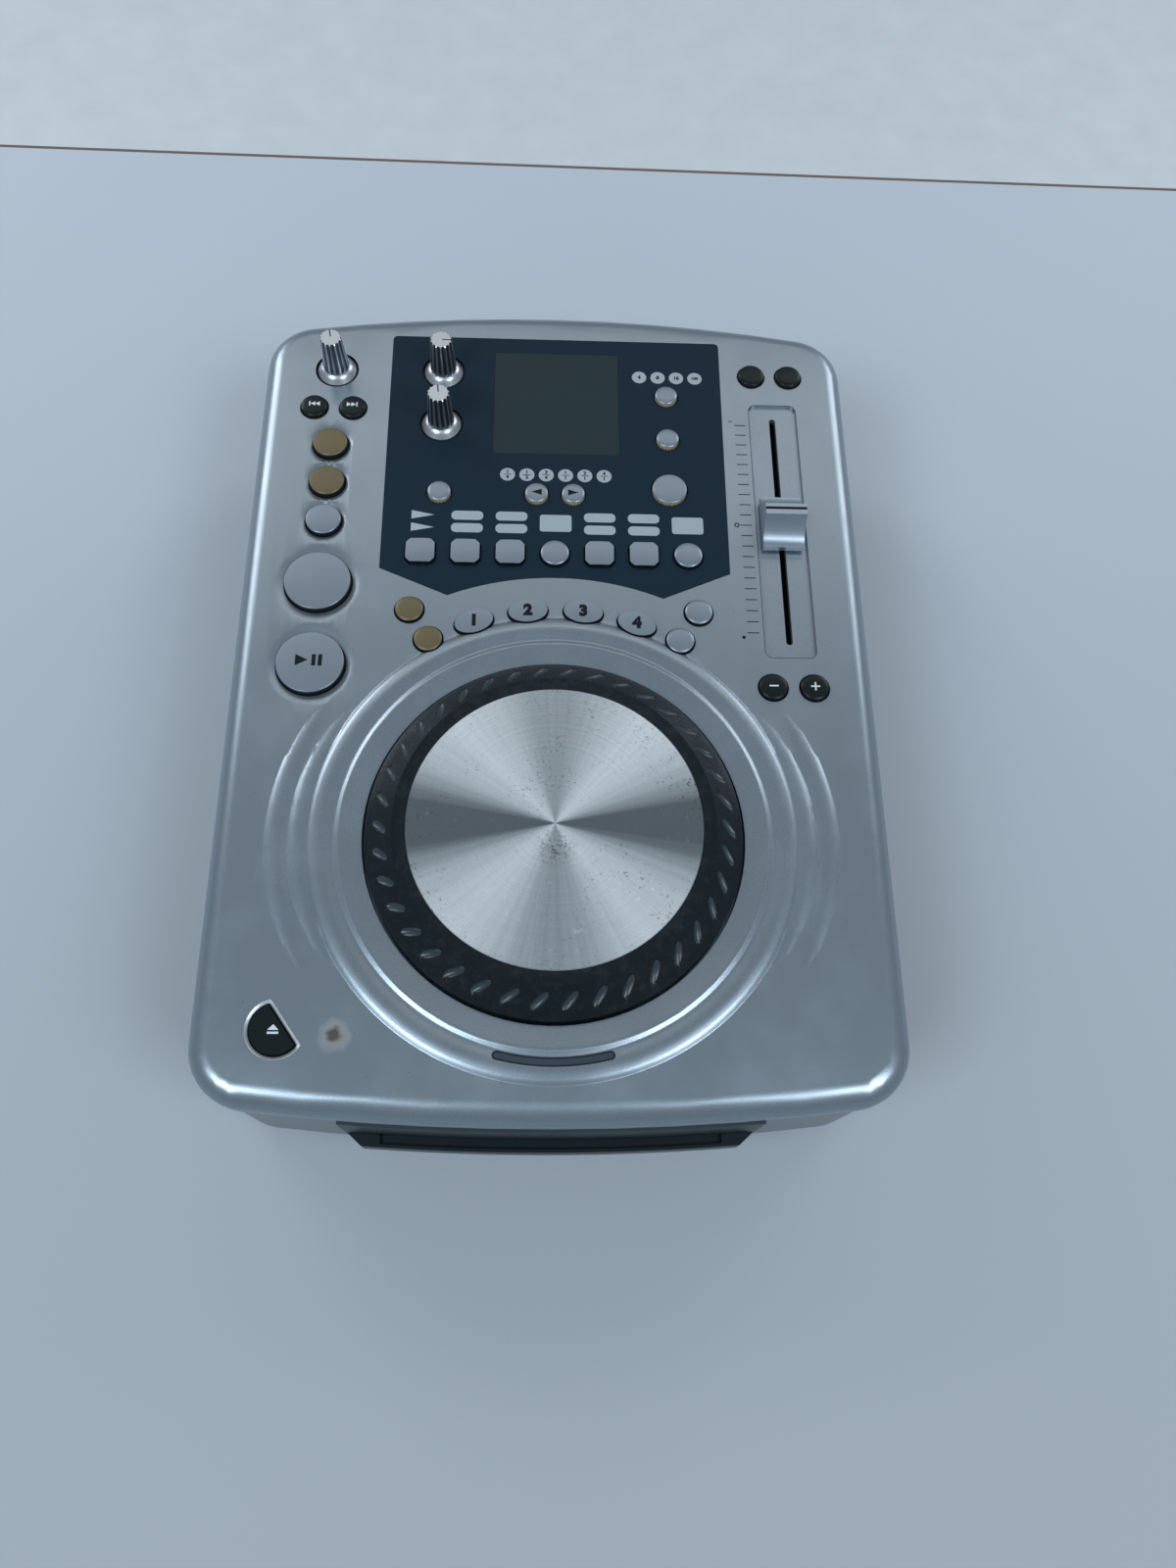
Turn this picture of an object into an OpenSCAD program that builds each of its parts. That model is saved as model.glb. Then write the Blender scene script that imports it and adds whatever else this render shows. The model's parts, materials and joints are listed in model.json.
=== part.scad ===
// Tabletop disc player with a large jog wheel, a disc drawer at the front and a panel of keys.
// Millimetres. The origin is on the table under the middle of the object. The front is -Y.

/* [Case] */
// Width of the top cover
cover_w = 247.4; // [240:0.2:260]
// Depth of the top cover, from the middle of its front edge to the middle of its rear edge
cover_d = 345.8; // [340:0.2:365]
// Height of the flat top above the table
top_z = 80; // [78:0.5:95]
// Height of the side band of the top cover
cover_band = 12; // [10:0.5:16]
// Radius of the rolled top edge
roll_r = 8; // [5:0.5:9]
// Radius of the cover's corners seen from above
corner_r = 21.5; // [16:0.5:26]
// Radius of the bowed rear edge
rear_bow_r = 650; // [450:10:1500]
// Radius of the bowed front edge
front_bow_r = 920; // [700:10:2000]
// Wall of the top cover
cover_t = 2.5; // [2:0.1:3]
// Wall of the base pan
pan_t = 2.2; // [1.8:0.1:3]
// How far the base pan stands in from the cover's outline
pan_inset = 1.6; // [1:0.1:3]
// How far the flat rear wall stands in from the cover's rear edge
rear_wall_in = 14; // [12:0.5:22]
// Height of the feet
foot_h = 8; // [5:0.5:10]
// Radius of a foot
foot_r = 11; // [8:0.5:13]
// Distance of the feet from the sides
foot_in = 30; // [26:0.5:40]

/* [Jog wheel] */
// Distance from the front edge to the jog wheel's centre
jog_from_front = 102; // [100:0.5:106]
// Radius of the round opening in the cover
well_r = 69.3; // [68:0.1:71]
// Gap between the jog ring and the opening
jog_gap = 1.1; // [0.6:0.1:1.6]
// Radius of the metal disc on the jog wheel
disc_r = 52.9; // [48:0.1:54]
// Height of the metal disc above the flat top
disc_h = 11.4; // [9:0.1:14]
// Width of the flat band around the metal disc
band_w = 4.1; // [3:0.1:6]
// Number of oval dimples in the ring
dimples = 38; // [24:1:44]
// Depth of the round well under the jog wheel
well_d = 9; // [8:0.5:10]
// Radius of the jog wheel's shaft
jog_shaft_r = 4; // [3:0.1:5]
// Radial running clearance of every shaft
run_gap = 0.05; // [0.03:0.01:0.08]
// Radius of the ripple nearest the jog wheel
ripple_in_r = 91.4; // [91:0.1:93]
// Radius of the outer ripple
ripple_out_r = 100; // [99:0.1:101]
// Height of the ripples
ripple_h = 1; // [0.5:0.1:1.4]

/* [Control panel] */
// Thickness of the dark control panel
panel_t = 1; // [0.8:0.1:1.4]
// Half width of the control panel at its rear
panel_rear_hw = 70.3; // [69:0.1:70.6]
// Distance from the jog wheel's centre to the panel's straight rear edge
panel_rear_y = 228; // [226:0.1:230]
// Distance from the jog wheel's centre to the panel's side corners at the front
panel_side_y = 111; // [109:0.1:112]
// Sideways distance of the front points
panel_point_x = 42.5; // [41:0.1:44]
// Radius of the concave front edge, about the jog wheel
panel_arc_r = 107.8; // [107:0.1:109]
// Width and height of the square display window
display_w = 52.8; // [48:0.2:54]
// Distance from the jog wheel's centre to the middle of the display
display_y = 194; // [192:0.5:196]

/* [Keys] */
// Gap around a key
key_gap = 0.6; // [0.4:0.05:0.8]
// Travel of the small keys
key_travel = 1; // [0.6:0.1:1.2]
// Travel of the two large keys
big_travel = 1.4; // [1:0.1:1.6]
// How far the retaining flange of a key stands out
key_flange = 1.2; // [1:0.1:1.5]
// Distance of the left column of keys from the cover's side
left_col_in = 30.6; // [30:0.1:32]
// Diameter of the two large keys
big_key_d = 25.7; // [24:0.1:26]
// Diameter of the three loop keys
loop_key_d = 14; // [13:0.1:14.4]
// Diameter of the dark keys and of the round keys beside the bank keys
round_key_d = 10.9; // [10:0.1:11.2]
// Diameter of the small keys on the control panel
small_key_d = 9.4; // [8.4:0.1:9.8]
// Diameter of the tempo key on the control panel
tap_key_d = 14.2; // [12:0.1:14.6]
// Size of the effect keys
effect_key_d = 11.4; // [10:0.1:11.8]
// Spacing of the effect keys
effect_pitch = 17.84; // [17.5:0.02:18]
// Length of the oval bank keys
bank_key_l = 15.3; // [14:0.1:15.6]
// Width of the oval bank keys
bank_key_w = 10; // [9:0.1:10.6]
// Distance of the bank keys from the jog wheel's centre
bank_r = 92.6; // [92:0.1:93.4]

/* [Knobs] */
// Height of a knob above the flat top
knob_h = 19; // [16:0.5:22]
// Radius of a knob's flared skirt
knob_skirt_r = 8.1; // [7.5:0.1:8.6]
// Radius of a knob's top
knob_top_r = 4.5; // [4:0.1:5]
// Number of flutes around a knob
knob_flutes = 14; // [12:1:18]
// Radius of a knob's shaft
knob_shaft_r = 3; // [2.5:0.1:3.4]

/* [Fader] */
// Travel of the pitch fader
fader_travel = 100; // [90:1:102]
// Distance of the fader from the cover's side
fader_in = 32; // [31:0.1:34]
// Distance from the jog wheel's centre to the middle of the fader
fader_y = 134.4; // [133:0.2:136]
// Width of the fader's cap
fader_cap_w = 16.6; // [14:0.1:17.6]
// Length of the fader's cap
fader_cap_l = 24; // [20:0.1:25]
// Height of the fader's cap above the flat top
fader_cap_h = 12; // [10:0.1:14]
// Width of the fader's slot
fader_slot_w = 2.6; // [2.2:0.1:3]

/* [Disc drawer] */
// Width of the drawer's front
front_w = 147; // [144:0.2:149]
// Height of the drawer's front
front_h = 42; // [40:0.5:43]
// How far the pull lip stands out of the cover's front edge
lip_out = 5; // [3:0.1:7]
// Thickness of the drawer's floor
tray_t = 1.8; // [1.4:0.1:2.2]
// Travel of the drawer
tray_travel = 132; // [120:1:134]
// Sideways clearance of the drawer in its rails
tray_gap = 0.4; // [0.3:0.05:0.6]
// Teeth on the drawer's gear
gear_teeth = 20; // [18:1:21]

/* [Hidden] */
fine = 96;
coarse = 48;
tiny = 0.01;
// A standard disc, and the tooth module of the drawer's rack and gear
media_d = 120;
gear_m = 1;

hw = cover_w / 2;
total_d = cover_d + lip_out;
front_y = -total_d / 2 + lip_out;
rear_y = front_y + cover_d;
jog_y = front_y + jog_from_front;
band_z = top_z - cover_band;
under_z = top_z - cover_t;
rear_wall_y = rear_y - rear_wall_in;
left_x = -hw + left_col_in;
fader_x = hw - fader_in;
well_z = top_z - well_d;

// Outline of the case, seen from above: straight sides, round corners, bowed front and rear.
rear_c = rear_y - rear_bow_r;
front_c = front_y + front_bow_r;
corner_x = hw - corner_r;
rear_corner_y = rear_c + sqrt(pow(rear_bow_r - corner_r, 2) - corner_x * corner_x);
front_corner_y = front_c - sqrt(pow(front_bow_r - corner_r, 2) - corner_x * corner_x);
rear_a = asin(corner_x / (rear_bow_r - corner_r));
front_a = asin(corner_x / (front_bow_r - corner_r));

function arc(x, y, r, a0, a1, n) = [for (i = [0:n]) let (a = a0 + (a1 - a0) * i / n) [x + r * cos(a), y + r * sin(a)]];
function outline(d) = concat(
    arc(0, rear_c, rear_bow_r - d, 90 - rear_a, 90 + rear_a, 10),
    arc(-corner_x, rear_corner_y, corner_r - d, 90 + rear_a, 180, 9),
    arc(-corner_x, front_corner_y, corner_r - d, 180, 270 - front_a, 9),
    arc(0, front_c, front_bow_r - d, 270 - front_a, 270 + front_a, 10),
    arc(corner_x, front_corner_y, corner_r - d, 270 + front_a, 360, 9),
    arc(corner_x, rear_corner_y, corner_r - d, 0, 90 - rear_a, 9));

module slab(d, z0, z1) translate([0, 0, z0]) linear_extrude(z1 - z0) polygon(outline(d));
module tube(r1, r2, z0, z1) translate([0, 0, z0]) difference() {
    cylinder(r = r1, h = z1 - z0, $fn = coarse);
    translate([0, 0, -1]) cylinder(r = r2, h = z1 - z0 + 2, $fn = coarse);
}
module rod(r, z0, z1) translate([0, 0, z0]) cylinder(r = r, h = z1 - z0, $fn = coarse);
module box(x0, x1, y0, y1, z0, z1) translate([x0, y0, z0]) cube([x1 - x0, y1 - y0, z1 - z0]);

// Keys: name, x, y from the jog wheel's centre, size, shape, colour
silver = "silver";
gold = "darkkhaki";
dark = "darkslategray";
panel_r_x = 46.6;
small_row_y = 147.4;
effect_y = 118.9;
function bank_at(a) = [bank_r * sin(a), bank_r * cos(a)];
bank_angles = [-20, -6.7, 6.7, 20];
keys = concat([
    ["skip_back_key", left_x - 8, 188.7, round_key_d, "round", dark],
    ["skip_forward_key", left_x + 8, 188.7, round_key_d, "round", dark],
    ["loop_in_key", left_x, 170.4, loop_key_d, "round", gold],
    ["loop_out_key", left_x, 151.5, loop_key_d, "round", gold],
    ["loop_again_key", left_x, 132.8, loop_key_d, "round", silver],
    ["cue_key", left_x, 103.9, big_key_d, "big", silver],
    ["play_key", left_x, 68, big_key_d, "big", silver],
    ["sampler_key", -56.9, 92.2, round_key_d, "round", gold],
    ["memory_key", -49.1, 79.2, round_key_d, "round", gold],
    ["time_key", 56.2, 92.8, round_key_d, "round", silver],
    ["single_key", 48.5, 80, round_key_d, "round", silver],
    ["tempo_lock_key", fader_x - 8, 210.2, round_key_d, "round", dark],
    ["pitch_on_key", fader_x + 8, 210.2, round_key_d, "round", dark],
    ["bend_down_key", fader_x - 8, 60.5, round_key_d, "round", dark],
    ["bend_up_key", fader_x + 8, 60.5, round_key_d, "round", dark],
    ["bank_select_key", -47.6, small_row_y, small_key_d, "round", silver],
    ["beat_left_key", -8, small_row_y, small_key_d, "round", silver],
    ["beat_right_key", 7, small_row_y, small_key_d, "round", silver],
    ["pitch_range_key", panel_r_x, 198.4, small_key_d, "round", silver],
    ["bpm_key", panel_r_x, 176, small_key_d, "round", silver],
    ["tap_key", panel_r_x, 150.6, tap_key_d, "round", silver]],
    [for (i = [0:3]) [str("bank_", i + 1, "_key"), bank_at(bank_angles[i])[0], bank_at(bank_angles[i])[1],
        bank_key_l, "oval", silver]],
    [for (i = [0:6]) [str("effect_", i + 1, "_key"), (i - 3) * effect_pitch - 0.4, effect_y,
        effect_key_d, (i == 3 || i == 6) ? "round" : "barrel", silver]]);

// A key's place on the cover: the control panel lies flush, so every key starts at the flat top.
module at_key(k) translate([k[1], jog_y + k[2], 0]) children();
function proud(k) = k[4] == "big" ? 2.2 : 1.8;
function travel(k) = k[4] == "big" ? big_travel : key_travel;

// Outline of a key, grown by g
function oval(l, w, g) = [for (i = [0:35]) let (a = i * 10) [(l / 2 + g) * cos(a), (w / 2 + g) * sin(a)]];
module key_shape(k, g, z0, z1) {
    if (k[4] == "oval") {
        rotate([0, 0, -atan2(k[1], k[2])]) translate([0, 0, z0])
            linear_extrude(z1 - z0) polygon(oval(k[3], bank_key_w, g));
    } else if (k[4] == "barrel") {
        intersection() {
            rod(k[3] / 2 + 0.9 + g, z0, z1);
            box(-k[3] / 2 - g, k[3] / 2 + g, -k[3], k[3], z0, z1);
            box(-k[3], k[3], -k[3] / 2 + 0.3 - g, k[3] / 2 - 0.3 + g, z0, z1);
        }
    } else {
        rod(k[3] / 2 + g, z0, z1);
    }
}

// Caps have a gently domed top with a rounded rim.
dome = 0.5;
rim = 0.6;
flange_t = 1.2;
board_z = top_z - 14;
board_t = 1.6;
switch_h = 5;
switch_w = 6;
switch_top = board_z + board_t + switch_h;
module key(k) {
    z1 = top_z + proud(k);
    zf = under_z - 0.1;
    r = k[3] / 2;
    reach = r + 2;
    sphere_r = (reach * reach + dome * dome) / (2 * dome);
    color(k[5]) at_key(k) union() {
        intersection() {
            key_shape(k, 0, zf - flange_t, z1 + tiny);
            translate([0, 0, z1 - sphere_r]) sphere(r = sphere_r, $fn = 180);
            if (k[4] == "round" || k[4] == "big") {
                rotate_extrude($fn = coarse)
                    polygon(concat([[0, zf - flange_t], [r, zf - flange_t]],
                        arc(r - rim, z1 - 0.3 - rim, rim, 0, 70, 5), [[r / 2, z1 + 1], [0, z1 + 1]]));
            }
        }
        key_shape(k, key_gap + key_flange - (k[4] == "barrel" ? 0.8 : 0), zf - flange_t, zf);
        rod(1.6, switch_top + travel(k) + 0.15, zf - flange_t + tiny);
    }
}

module eject_outline(g) {
    rotate([0, 0, eject_turn]) intersection() {
        circle(r = eject_r + g, $fn = fine);
        translate([-40, -40]) square([40 + eject_flat + g, 80]);
    }
}
eject_r = 8.7;
eject_flat = 2.4;
eject_turn = 36;
eject_rim = 1.1;
eject_x = left_x - 0.6;
eject_dy = -70.5;
module eject_key() {
    z1 = top_z + 0.8;
    zf = under_z - 0.1;
    color(dark) translate([eject_x, jog_y + eject_dy, 0]) union() {
        translate([0, 0, zf - flange_t]) linear_extrude(z1 - zf + flange_t) eject_outline(0);
        translate([0, 0, zf - flange_t]) linear_extrude(flange_t) eject_outline(key_gap + key_flange);
        translate([-2, 0, 0]) rod(1.6, switch_top + key_travel + 0.15, zf - flange_t + tiny);
    }
}

// Knobs stand in shallow round recesses.
knob_recess_r = knob_skirt_r + 1;
knob_recess_d = 1.6;
knobs = [[left_x, 208.8], [-48, 209.2], [-48, 181.8]];
skirt_h = 3.6;
grip_r = 5.5;
flute_r = 0.9;
control_top = switch_top + 1.6;
control_w = 12;
shaft_in = 3.6;
module knob(i) {
    z0 = top_z - knob_recess_d + 0.5;
    z1 = top_z + knob_h;
    slope = atan((grip_r - knob_top_r) / (knob_h - skirt_h));
    color(silver) translate([knobs[i][0], jog_y + knobs[i][1], 0]) difference() {
        union() {
            rotate_extrude($fn = fine) polygon([[0, z0], [knob_skirt_r, z0], [knob_skirt_r, z0 + 0.9],
                [grip_r + 1, z0 + skirt_h - 0.6], [grip_r, z0 + skirt_h], [knob_top_r, z1 - 0.4],
                [knob_top_r - 0.4, z1], [0, z1]]);
            rod(knob_shaft_r, control_top - shaft_in + 0.3, z0 + 1);
        }
        for (j = [0:knob_flutes - 1]) rotate([0, 0, j * 360 / knob_flutes])
            translate([grip_r + 0.35, 0, z0 + skirt_h]) rotate([0, -slope, 0])
                cylinder(r = flute_r, h = knob_h + 4, $fn = 16);
    }
}
module search_knob() { knob(0); }
module upper_knob() { knob(1); }
module lower_knob() { knob(2); }

// Pitch fader
fader_y0 = jog_y + fader_y;
fader_recess_w = 20;
fader_recess_l = 121.5;
fader_recess_r = 3;
fader_recess_d = 1.2;
fader_slot_l = 109;
lever_l = 6;
lever_w = 1.4;
fader_box_w = 9;
fader_box_z = top_z - 13;
fader_box_top = under_z - fader_recess_d;
fader_box_l = fader_slot_l + 18;
module rounded(w, l, r, h) {
    linear_extrude(h) union() {
        square([w - 2 * r, l], center = true);
        square([w, l - 2 * r], center = true);
        for (x = [-1, 1], y = [-1, 1]) translate([x * (w / 2 - r), y * (l / 2 - r)]) circle(r = r, $fn = coarse);
    }
}
module fader_body() {
    color("dimgray") translate([fader_x, fader_y0, 0]) difference() {
        box(-fader_box_w / 2, fader_box_w / 2, -fader_box_l / 2, fader_box_l / 2, fader_box_z, fader_box_top);
        box(-fader_box_w / 2 + 1, fader_box_w / 2 - 1, -fader_slot_l / 2 - 1, fader_slot_l / 2 + 1,
            fader_box_z + 1.2, fader_box_top - 1);
        box(-fader_slot_w / 2, fader_slot_w / 2, -fader_slot_l / 2 - 1, fader_slot_l / 2 + 1,
            fader_box_top - 2, fader_box_top + 1);
    }
}
crest = 5;
module fader_cap() {
    z0 = top_z + 0.2;
    z1 = top_z + fader_cap_h;
    run = fader_cap_l / 2 - crest / 2;
    color(silver) translate([fader_x, fader_y0, 0]) {
        difference() {
            rotate([90, 0, 90]) translate([0, 0, -fader_cap_w / 2]) linear_extrude(fader_cap_w)
                polygon(concat([[fader_cap_l / 2, z0], [-fader_cap_l / 2, z0], [-fader_cap_l / 2, z0 + 2.4]],
                    [for (i = [1:11]) let (t = i / 12) [-fader_cap_l / 2 + run * t, z0 + 2.4 + (z1 - z0 - 2.4) * pow(t, 2.2)]],
                    [[-crest / 2, z1], [crest / 2, z1]],
                    [for (i = [11:-1:1]) let (t = i / 12) [fader_cap_l / 2 - run * t, z0 + 2.4 + (z1 - z0 - 2.4) * pow(t, 2.2)]],
                    [[fader_cap_l / 2, z0 + 2.4]]));
            box(-fader_cap_w, fader_cap_w, -0.35, 0.35, z1 - 0.4, z1 + 1);
        }
        box(-lever_w / 2, lever_w / 2, -lever_l / 2, lever_l / 2, fader_box_z + 3, z0 + 1);
        box(-2.8, 2.8, -4.5, 4.5, fader_box_z + 1.7, fader_box_z + 4.2);
    }
}

// Dark control panel, laid flush in a pocket of the cover
panel_corner_r = 2;
panel_side_hw = panel_rear_hw - 0.6;
panel_a = asin(panel_point_x / panel_arc_r);
module panel_outline(g) polygon(concat(
    arc(panel_rear_hw - panel_corner_r, panel_rear_y - panel_corner_r, panel_corner_r + g, 0, 90, 6),
    arc(panel_corner_r - panel_rear_hw, panel_rear_y - panel_corner_r, panel_corner_r + g, 90, 180, 6),
    [[-panel_side_hw - g, panel_side_y - g]],
    arc(0, 0, panel_arc_r - g, 90 + panel_a, 90 - panel_a, 24),
    [[panel_side_hw + g, panel_side_y - g]]));
module panel_slab(g, z0, z1) translate([0, jog_y, z0]) linear_extrude(z1 - z0) panel_outline(g);

on_panel = [for (k = keys) if (k[0] == "bank_select_key" || k[0] == "beat_left_key" || k[0] == "beat_right_key"
    || k[0] == "pitch_range_key" || k[0] == "bpm_key" || k[0] == "tap_key" || k[2] == effect_y) k];
lamp_r = 3.1;
lamp_pitch = 7.95;
lamps = concat([for (i = [0:3]) [35.4 + lamp_pitch * i, 208.7]], [for (i = [0:5]) [-20 + lamp_pitch * i, 157]]);
lamp_t = 0.6;
fit_gap = 0.1;
pocket_z = top_z - panel_t;
module control_panel() {
    color([0.1, 0.15, 0.21]) difference() {
        panel_slab(-fit_gap, pocket_z, top_z);
        for (k = on_panel) at_key(k) key_shape(k, key_gap, pocket_z - 1, top_z + 1);
        for (i = [1, 2]) translate([knobs[i][0], jog_y + knobs[i][1], 0]) rod(knob_recess_r, pocket_z - 1, top_z + 1);
        for (l = lamps) translate([l[0], jog_y + l[1], 0]) rod(lamp_r + fit_gap, top_z - lamp_t, top_z + 1);
        translate([0, jog_y + display_y, pocket_z - 1]) linear_extrude(panel_t + 2)
            square([display_w, display_w], center = true);
    }
}
window_t = panel_t + 1;
window_drop = 0.05;
module display_window() {
    w = display_w - 2 * fit_gap;
    color([0.16, 0.2, 0.23]) translate([0, jog_y + display_y, top_z - window_t])
        linear_extrude(window_t - window_drop) square([w, w], center = true);
}
jog_lamp_r = 81.6;
jog_lamp_w = 3.3;
jog_lamp_a = 13.6;
jog_lamp_up = 1.05;
module arc_bar(r, w, a, z0, z1) {
    translate([0, jog_y, z0]) {
        rotate([0, 0, -90 - a]) rotate_extrude(angle = 2 * a, $fn = fine) translate([r - w / 2, 0]) square([w, z1 - z0]);
        for (s = [-1, 1]) rotate([0, 0, -90 + s * a]) translate([r, 0, 0]) cylinder(r = w / 2, h = z1 - z0, $fn = coarse);
    }
}
module lamp_windows() {
    color([0.7, 0.78, 0.84]) union() {
        for (l = lamps) translate([l[0], jog_y + l[1], 0]) rod(lamp_r, top_z - lamp_t, top_z);
        arc_bar(jog_lamp_r, jog_lamp_w - 2 * fit_gap, jog_lamp_a, under_z - 1, top_z + jog_lamp_up);
    }
}

// Raised bezel around the jog wheel: a sloping ring, a bead, a groove and a soft hump
hump_r = 90;
bead_r = 77.6;
function bump(r, c, w) = abs(r - c) < w ? (1 + cos(180 * (r - c) / w)) / 2 : 0;
function bezel_z(r) = (r < bead_r ? 1.5 * (r - well_r) / (bead_r - well_r) : 0.6 + 0.9 * bump(r, bead_r, 2))
    + (r < bead_r ? 0 : 0.9 * bump(r, 84.5, 6)) - (r > 88 ? 0.4 * (r - 88) : 0);
bezel_steps = 28;
module bezel() translate([0, jog_y, 0]) rotate_extrude($fn = 144) polygon(concat(
    [[hump_r, under_z + 0.5], [well_r, under_z + 0.5]],
    [for (i = [0:bezel_steps]) let (r = well_r + (hump_r - well_r) * i / bezel_steps) [r, top_z + bezel_z(r)]]));

// Ripples: rings tipped out of the flat top, so that each rises and fades like a crescent
ripple_w = 10;
ripple_tip = 4.3;
module ripple(r, side) translate([0, jog_y, 0]) rotate([0, 0, side > 0 ? 0 : 180]) intersection() {
    translate([0, 0, top_z + ripple_h - ripple_w - r * sin(ripple_tip)]) rotate([0, -ripple_tip, 0])
        rotate([0, 0, -45]) rotate_extrude(angle = 90, $fn = 144) translate([r / cos(ripple_tip), 0])
            circle(r = ripple_w, $fn = 40);
    box(0, r + 10, -r, r, top_z - 1, top_z + 5);
}

// Screws: the same screw holds the case, the boards and the loader
screw_r = 1.45;
pilot_r = 1.5;
screw_hole_r = 1.8;
screw_l = 9;
screw_head_r = 2.9;
screw_head_h = 2.4;
boss_r = 4.6;
post_r = 3.5;
cover_boss_z = top_z - 26;
boss_in = 13;
boss_front_y = -120;
boss_mid_y = 14;
boss_rear_y = rear_wall_y - 12;
bosses = [for (s = [-1, 1], y = [boss_front_y, boss_mid_y, boss_rear_y]) [s * (hw - boss_in), y]];
// Posts that carry the control board, from the jog wheel's centre
board_posts = [[left_x + 19, 200], [fader_x - 17.7, 200], [left_x + 19, 130], [fader_x - 17.7, 130],
    [-66, 70], [66, 70], [left_x - 2, -38]];
module top_cover() {
    color([0.74, 0.76, 0.78]) difference() {
        union() {
            difference() {
                union() {
                    hull() {
                        slab(0, band_z, top_z - roll_r);
                        for (i = [1:5]) slab(roll_r * (1 - cos(i * 18)), top_z - roll_r, top_z - roll_r * (1 - sin(i * 18)));
                    }
                    bezel();
                    for (s = [-1, 1]) {
                        ripple(ripple_in_r, s);
                        ripple(ripple_out_r, s);
                    }
                }
                hull() {
                    slab(cover_t, band_z - 1, under_z - roll_r + cover_t);
                    for (i = [1:3]) slab(cover_t + (roll_r - cover_t) * (1 - cos(i * 30)), under_z - roll_r + cover_t,
                        under_z - (roll_r - cover_t) * (1 - sin(i * 30)));
                }
            }
            translate([0, jog_y, 0]) rod(well_r + 2, well_z - 2, top_z - 1);
            translate([fader_x, fader_y0, under_z - fader_recess_d]) rounded(fader_recess_w + 4, fader_recess_l + 4, fader_recess_r + 2, 2);
            for (i = [0:2]) translate([knobs[i][0], jog_y + knobs[i][1], 0]) rod(knob_recess_r + 2, under_z - 1.2, top_z - 1);
            for (b = bosses) translate([b[0], b[1], 0]) rod(boss_r, cover_boss_z, under_z + 1);
            for (b = board_posts) translate([b[0], jog_y + b[1], 0]) rod(post_r, board_z + board_t, under_z + 1);
        }
        translate([0, jog_y, 0]) {
            rod(well_r, well_z, top_z + 5);
            rod(bush_r, well_z - 5, well_z + 5);
            box(-sensor_w / 2 - 0.5, sensor_w / 2 + 0.5, sensor_y0 - 0.5, sensor_y1 + 0.5, well_z - 5, well_z + 5);
        }
        panel_slab(0, pocket_z, top_z + 1);
        for (k = keys) at_key(k) key_shape(k, key_gap, under_z - 3, top_z + 3);
        for (i = [2:6]) dish(keys[i], i > 4 ? 3.9 : 1.9);
        translate([eject_x, jog_y + eject_dy, under_z - 1]) linear_extrude(cover_t + 2) eject_outline(key_gap);
        translate([eject_x, jog_y + eject_dy, top_z - 0.5]) linear_extrude(1) eject_outline(key_gap + eject_rim);
        for (i = [0:2]) translate([knobs[i][0], jog_y + knobs[i][1], 0]) {
            rod(knob_recess_r, top_z - knob_recess_d, top_z + 1);
            rod(knob_shaft_r + 1, under_z - 3, top_z);
        }
        translate([fader_x, fader_y0, top_z - fader_recess_d]) rounded(fader_recess_w, fader_recess_l, fader_recess_r, 3);
        translate([fader_x, fader_y0, under_z - 3]) rounded(fader_slot_w, fader_slot_l, fader_slot_w / 2 - 0.05, 6);
        arc_bar(jog_lamp_r, jog_lamp_w, jog_lamp_a, under_z - 3, top_z + 3);
        translate([0, jog_y + display_y, under_z - 1]) linear_extrude(cover_t + 2) square([display_w, display_w], center = true);
        for (b = bosses) translate([b[0], b[1], 0]) rod(pilot_r, cover_boss_z - 1, cover_boss_z + screw_l);
        for (b = board_posts) translate([b[0], jog_y + b[1], 0]) rod(pilot_r, board_z, board_z + screw_l + 0.4);
    }
}
// Dished surround of a key
module dish(k, w) at_key(k) rotate_extrude($fn = fine)
    polygon([[0, top_z - 0.9], [k[3] / 2 + key_gap, top_z - 0.9], [k[3] / 2 + key_gap + w, top_z + tiny], [0, top_z + tiny]]);

// Base pan with its flat rear wall
pan_z = foot_h;
front_x = front_w / 2 + 1;
tray_front_z1 = band_z - 3;
tray_front_z0 = tray_front_z1 - front_h;
sockets_x = [-84, -70, -50];
socket_z = pan_z + 34;
rca_r = 4.2;
jack_x = -32;
jack_r = 3;
inlet_x = 78;
inlet_w = 27;
inlet_h = 20;
switch_x = 44;
rocker_w = 13;
rocker_h = 19;
module pan_body(d, z0, z1) intersection() {
    slab(pan_inset + d, z0, z1);
    box(-hw, hw, front_y - 10, rear_wall_y - d, z0 - 1, z1 + 1);
}
tall_boss_r = 5.2;
pan_boss_z = cover_boss_z;
head_seat = pan_boss_z - 4;
main_z = pan_z + 20;
supply_z = pan_z + 10;
main_posts = [for (x = [-94, -30], y = [56, 22]) [x, rear_wall_y - y]];
supply_posts = [for (x = [22, 97], y = [62, 10]) [x, rear_wall_y - y]];
vent_l = 30;
vent_w = 3;
vent_pitch = 9;
vent_y0 = 40;
foot_shift = 4;
feet_at = [for (x = [-1, 1], y = [front_y + foot_in, rear_wall_y - foot_in - foot_shift]) [x * (hw - foot_in), y]];
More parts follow.
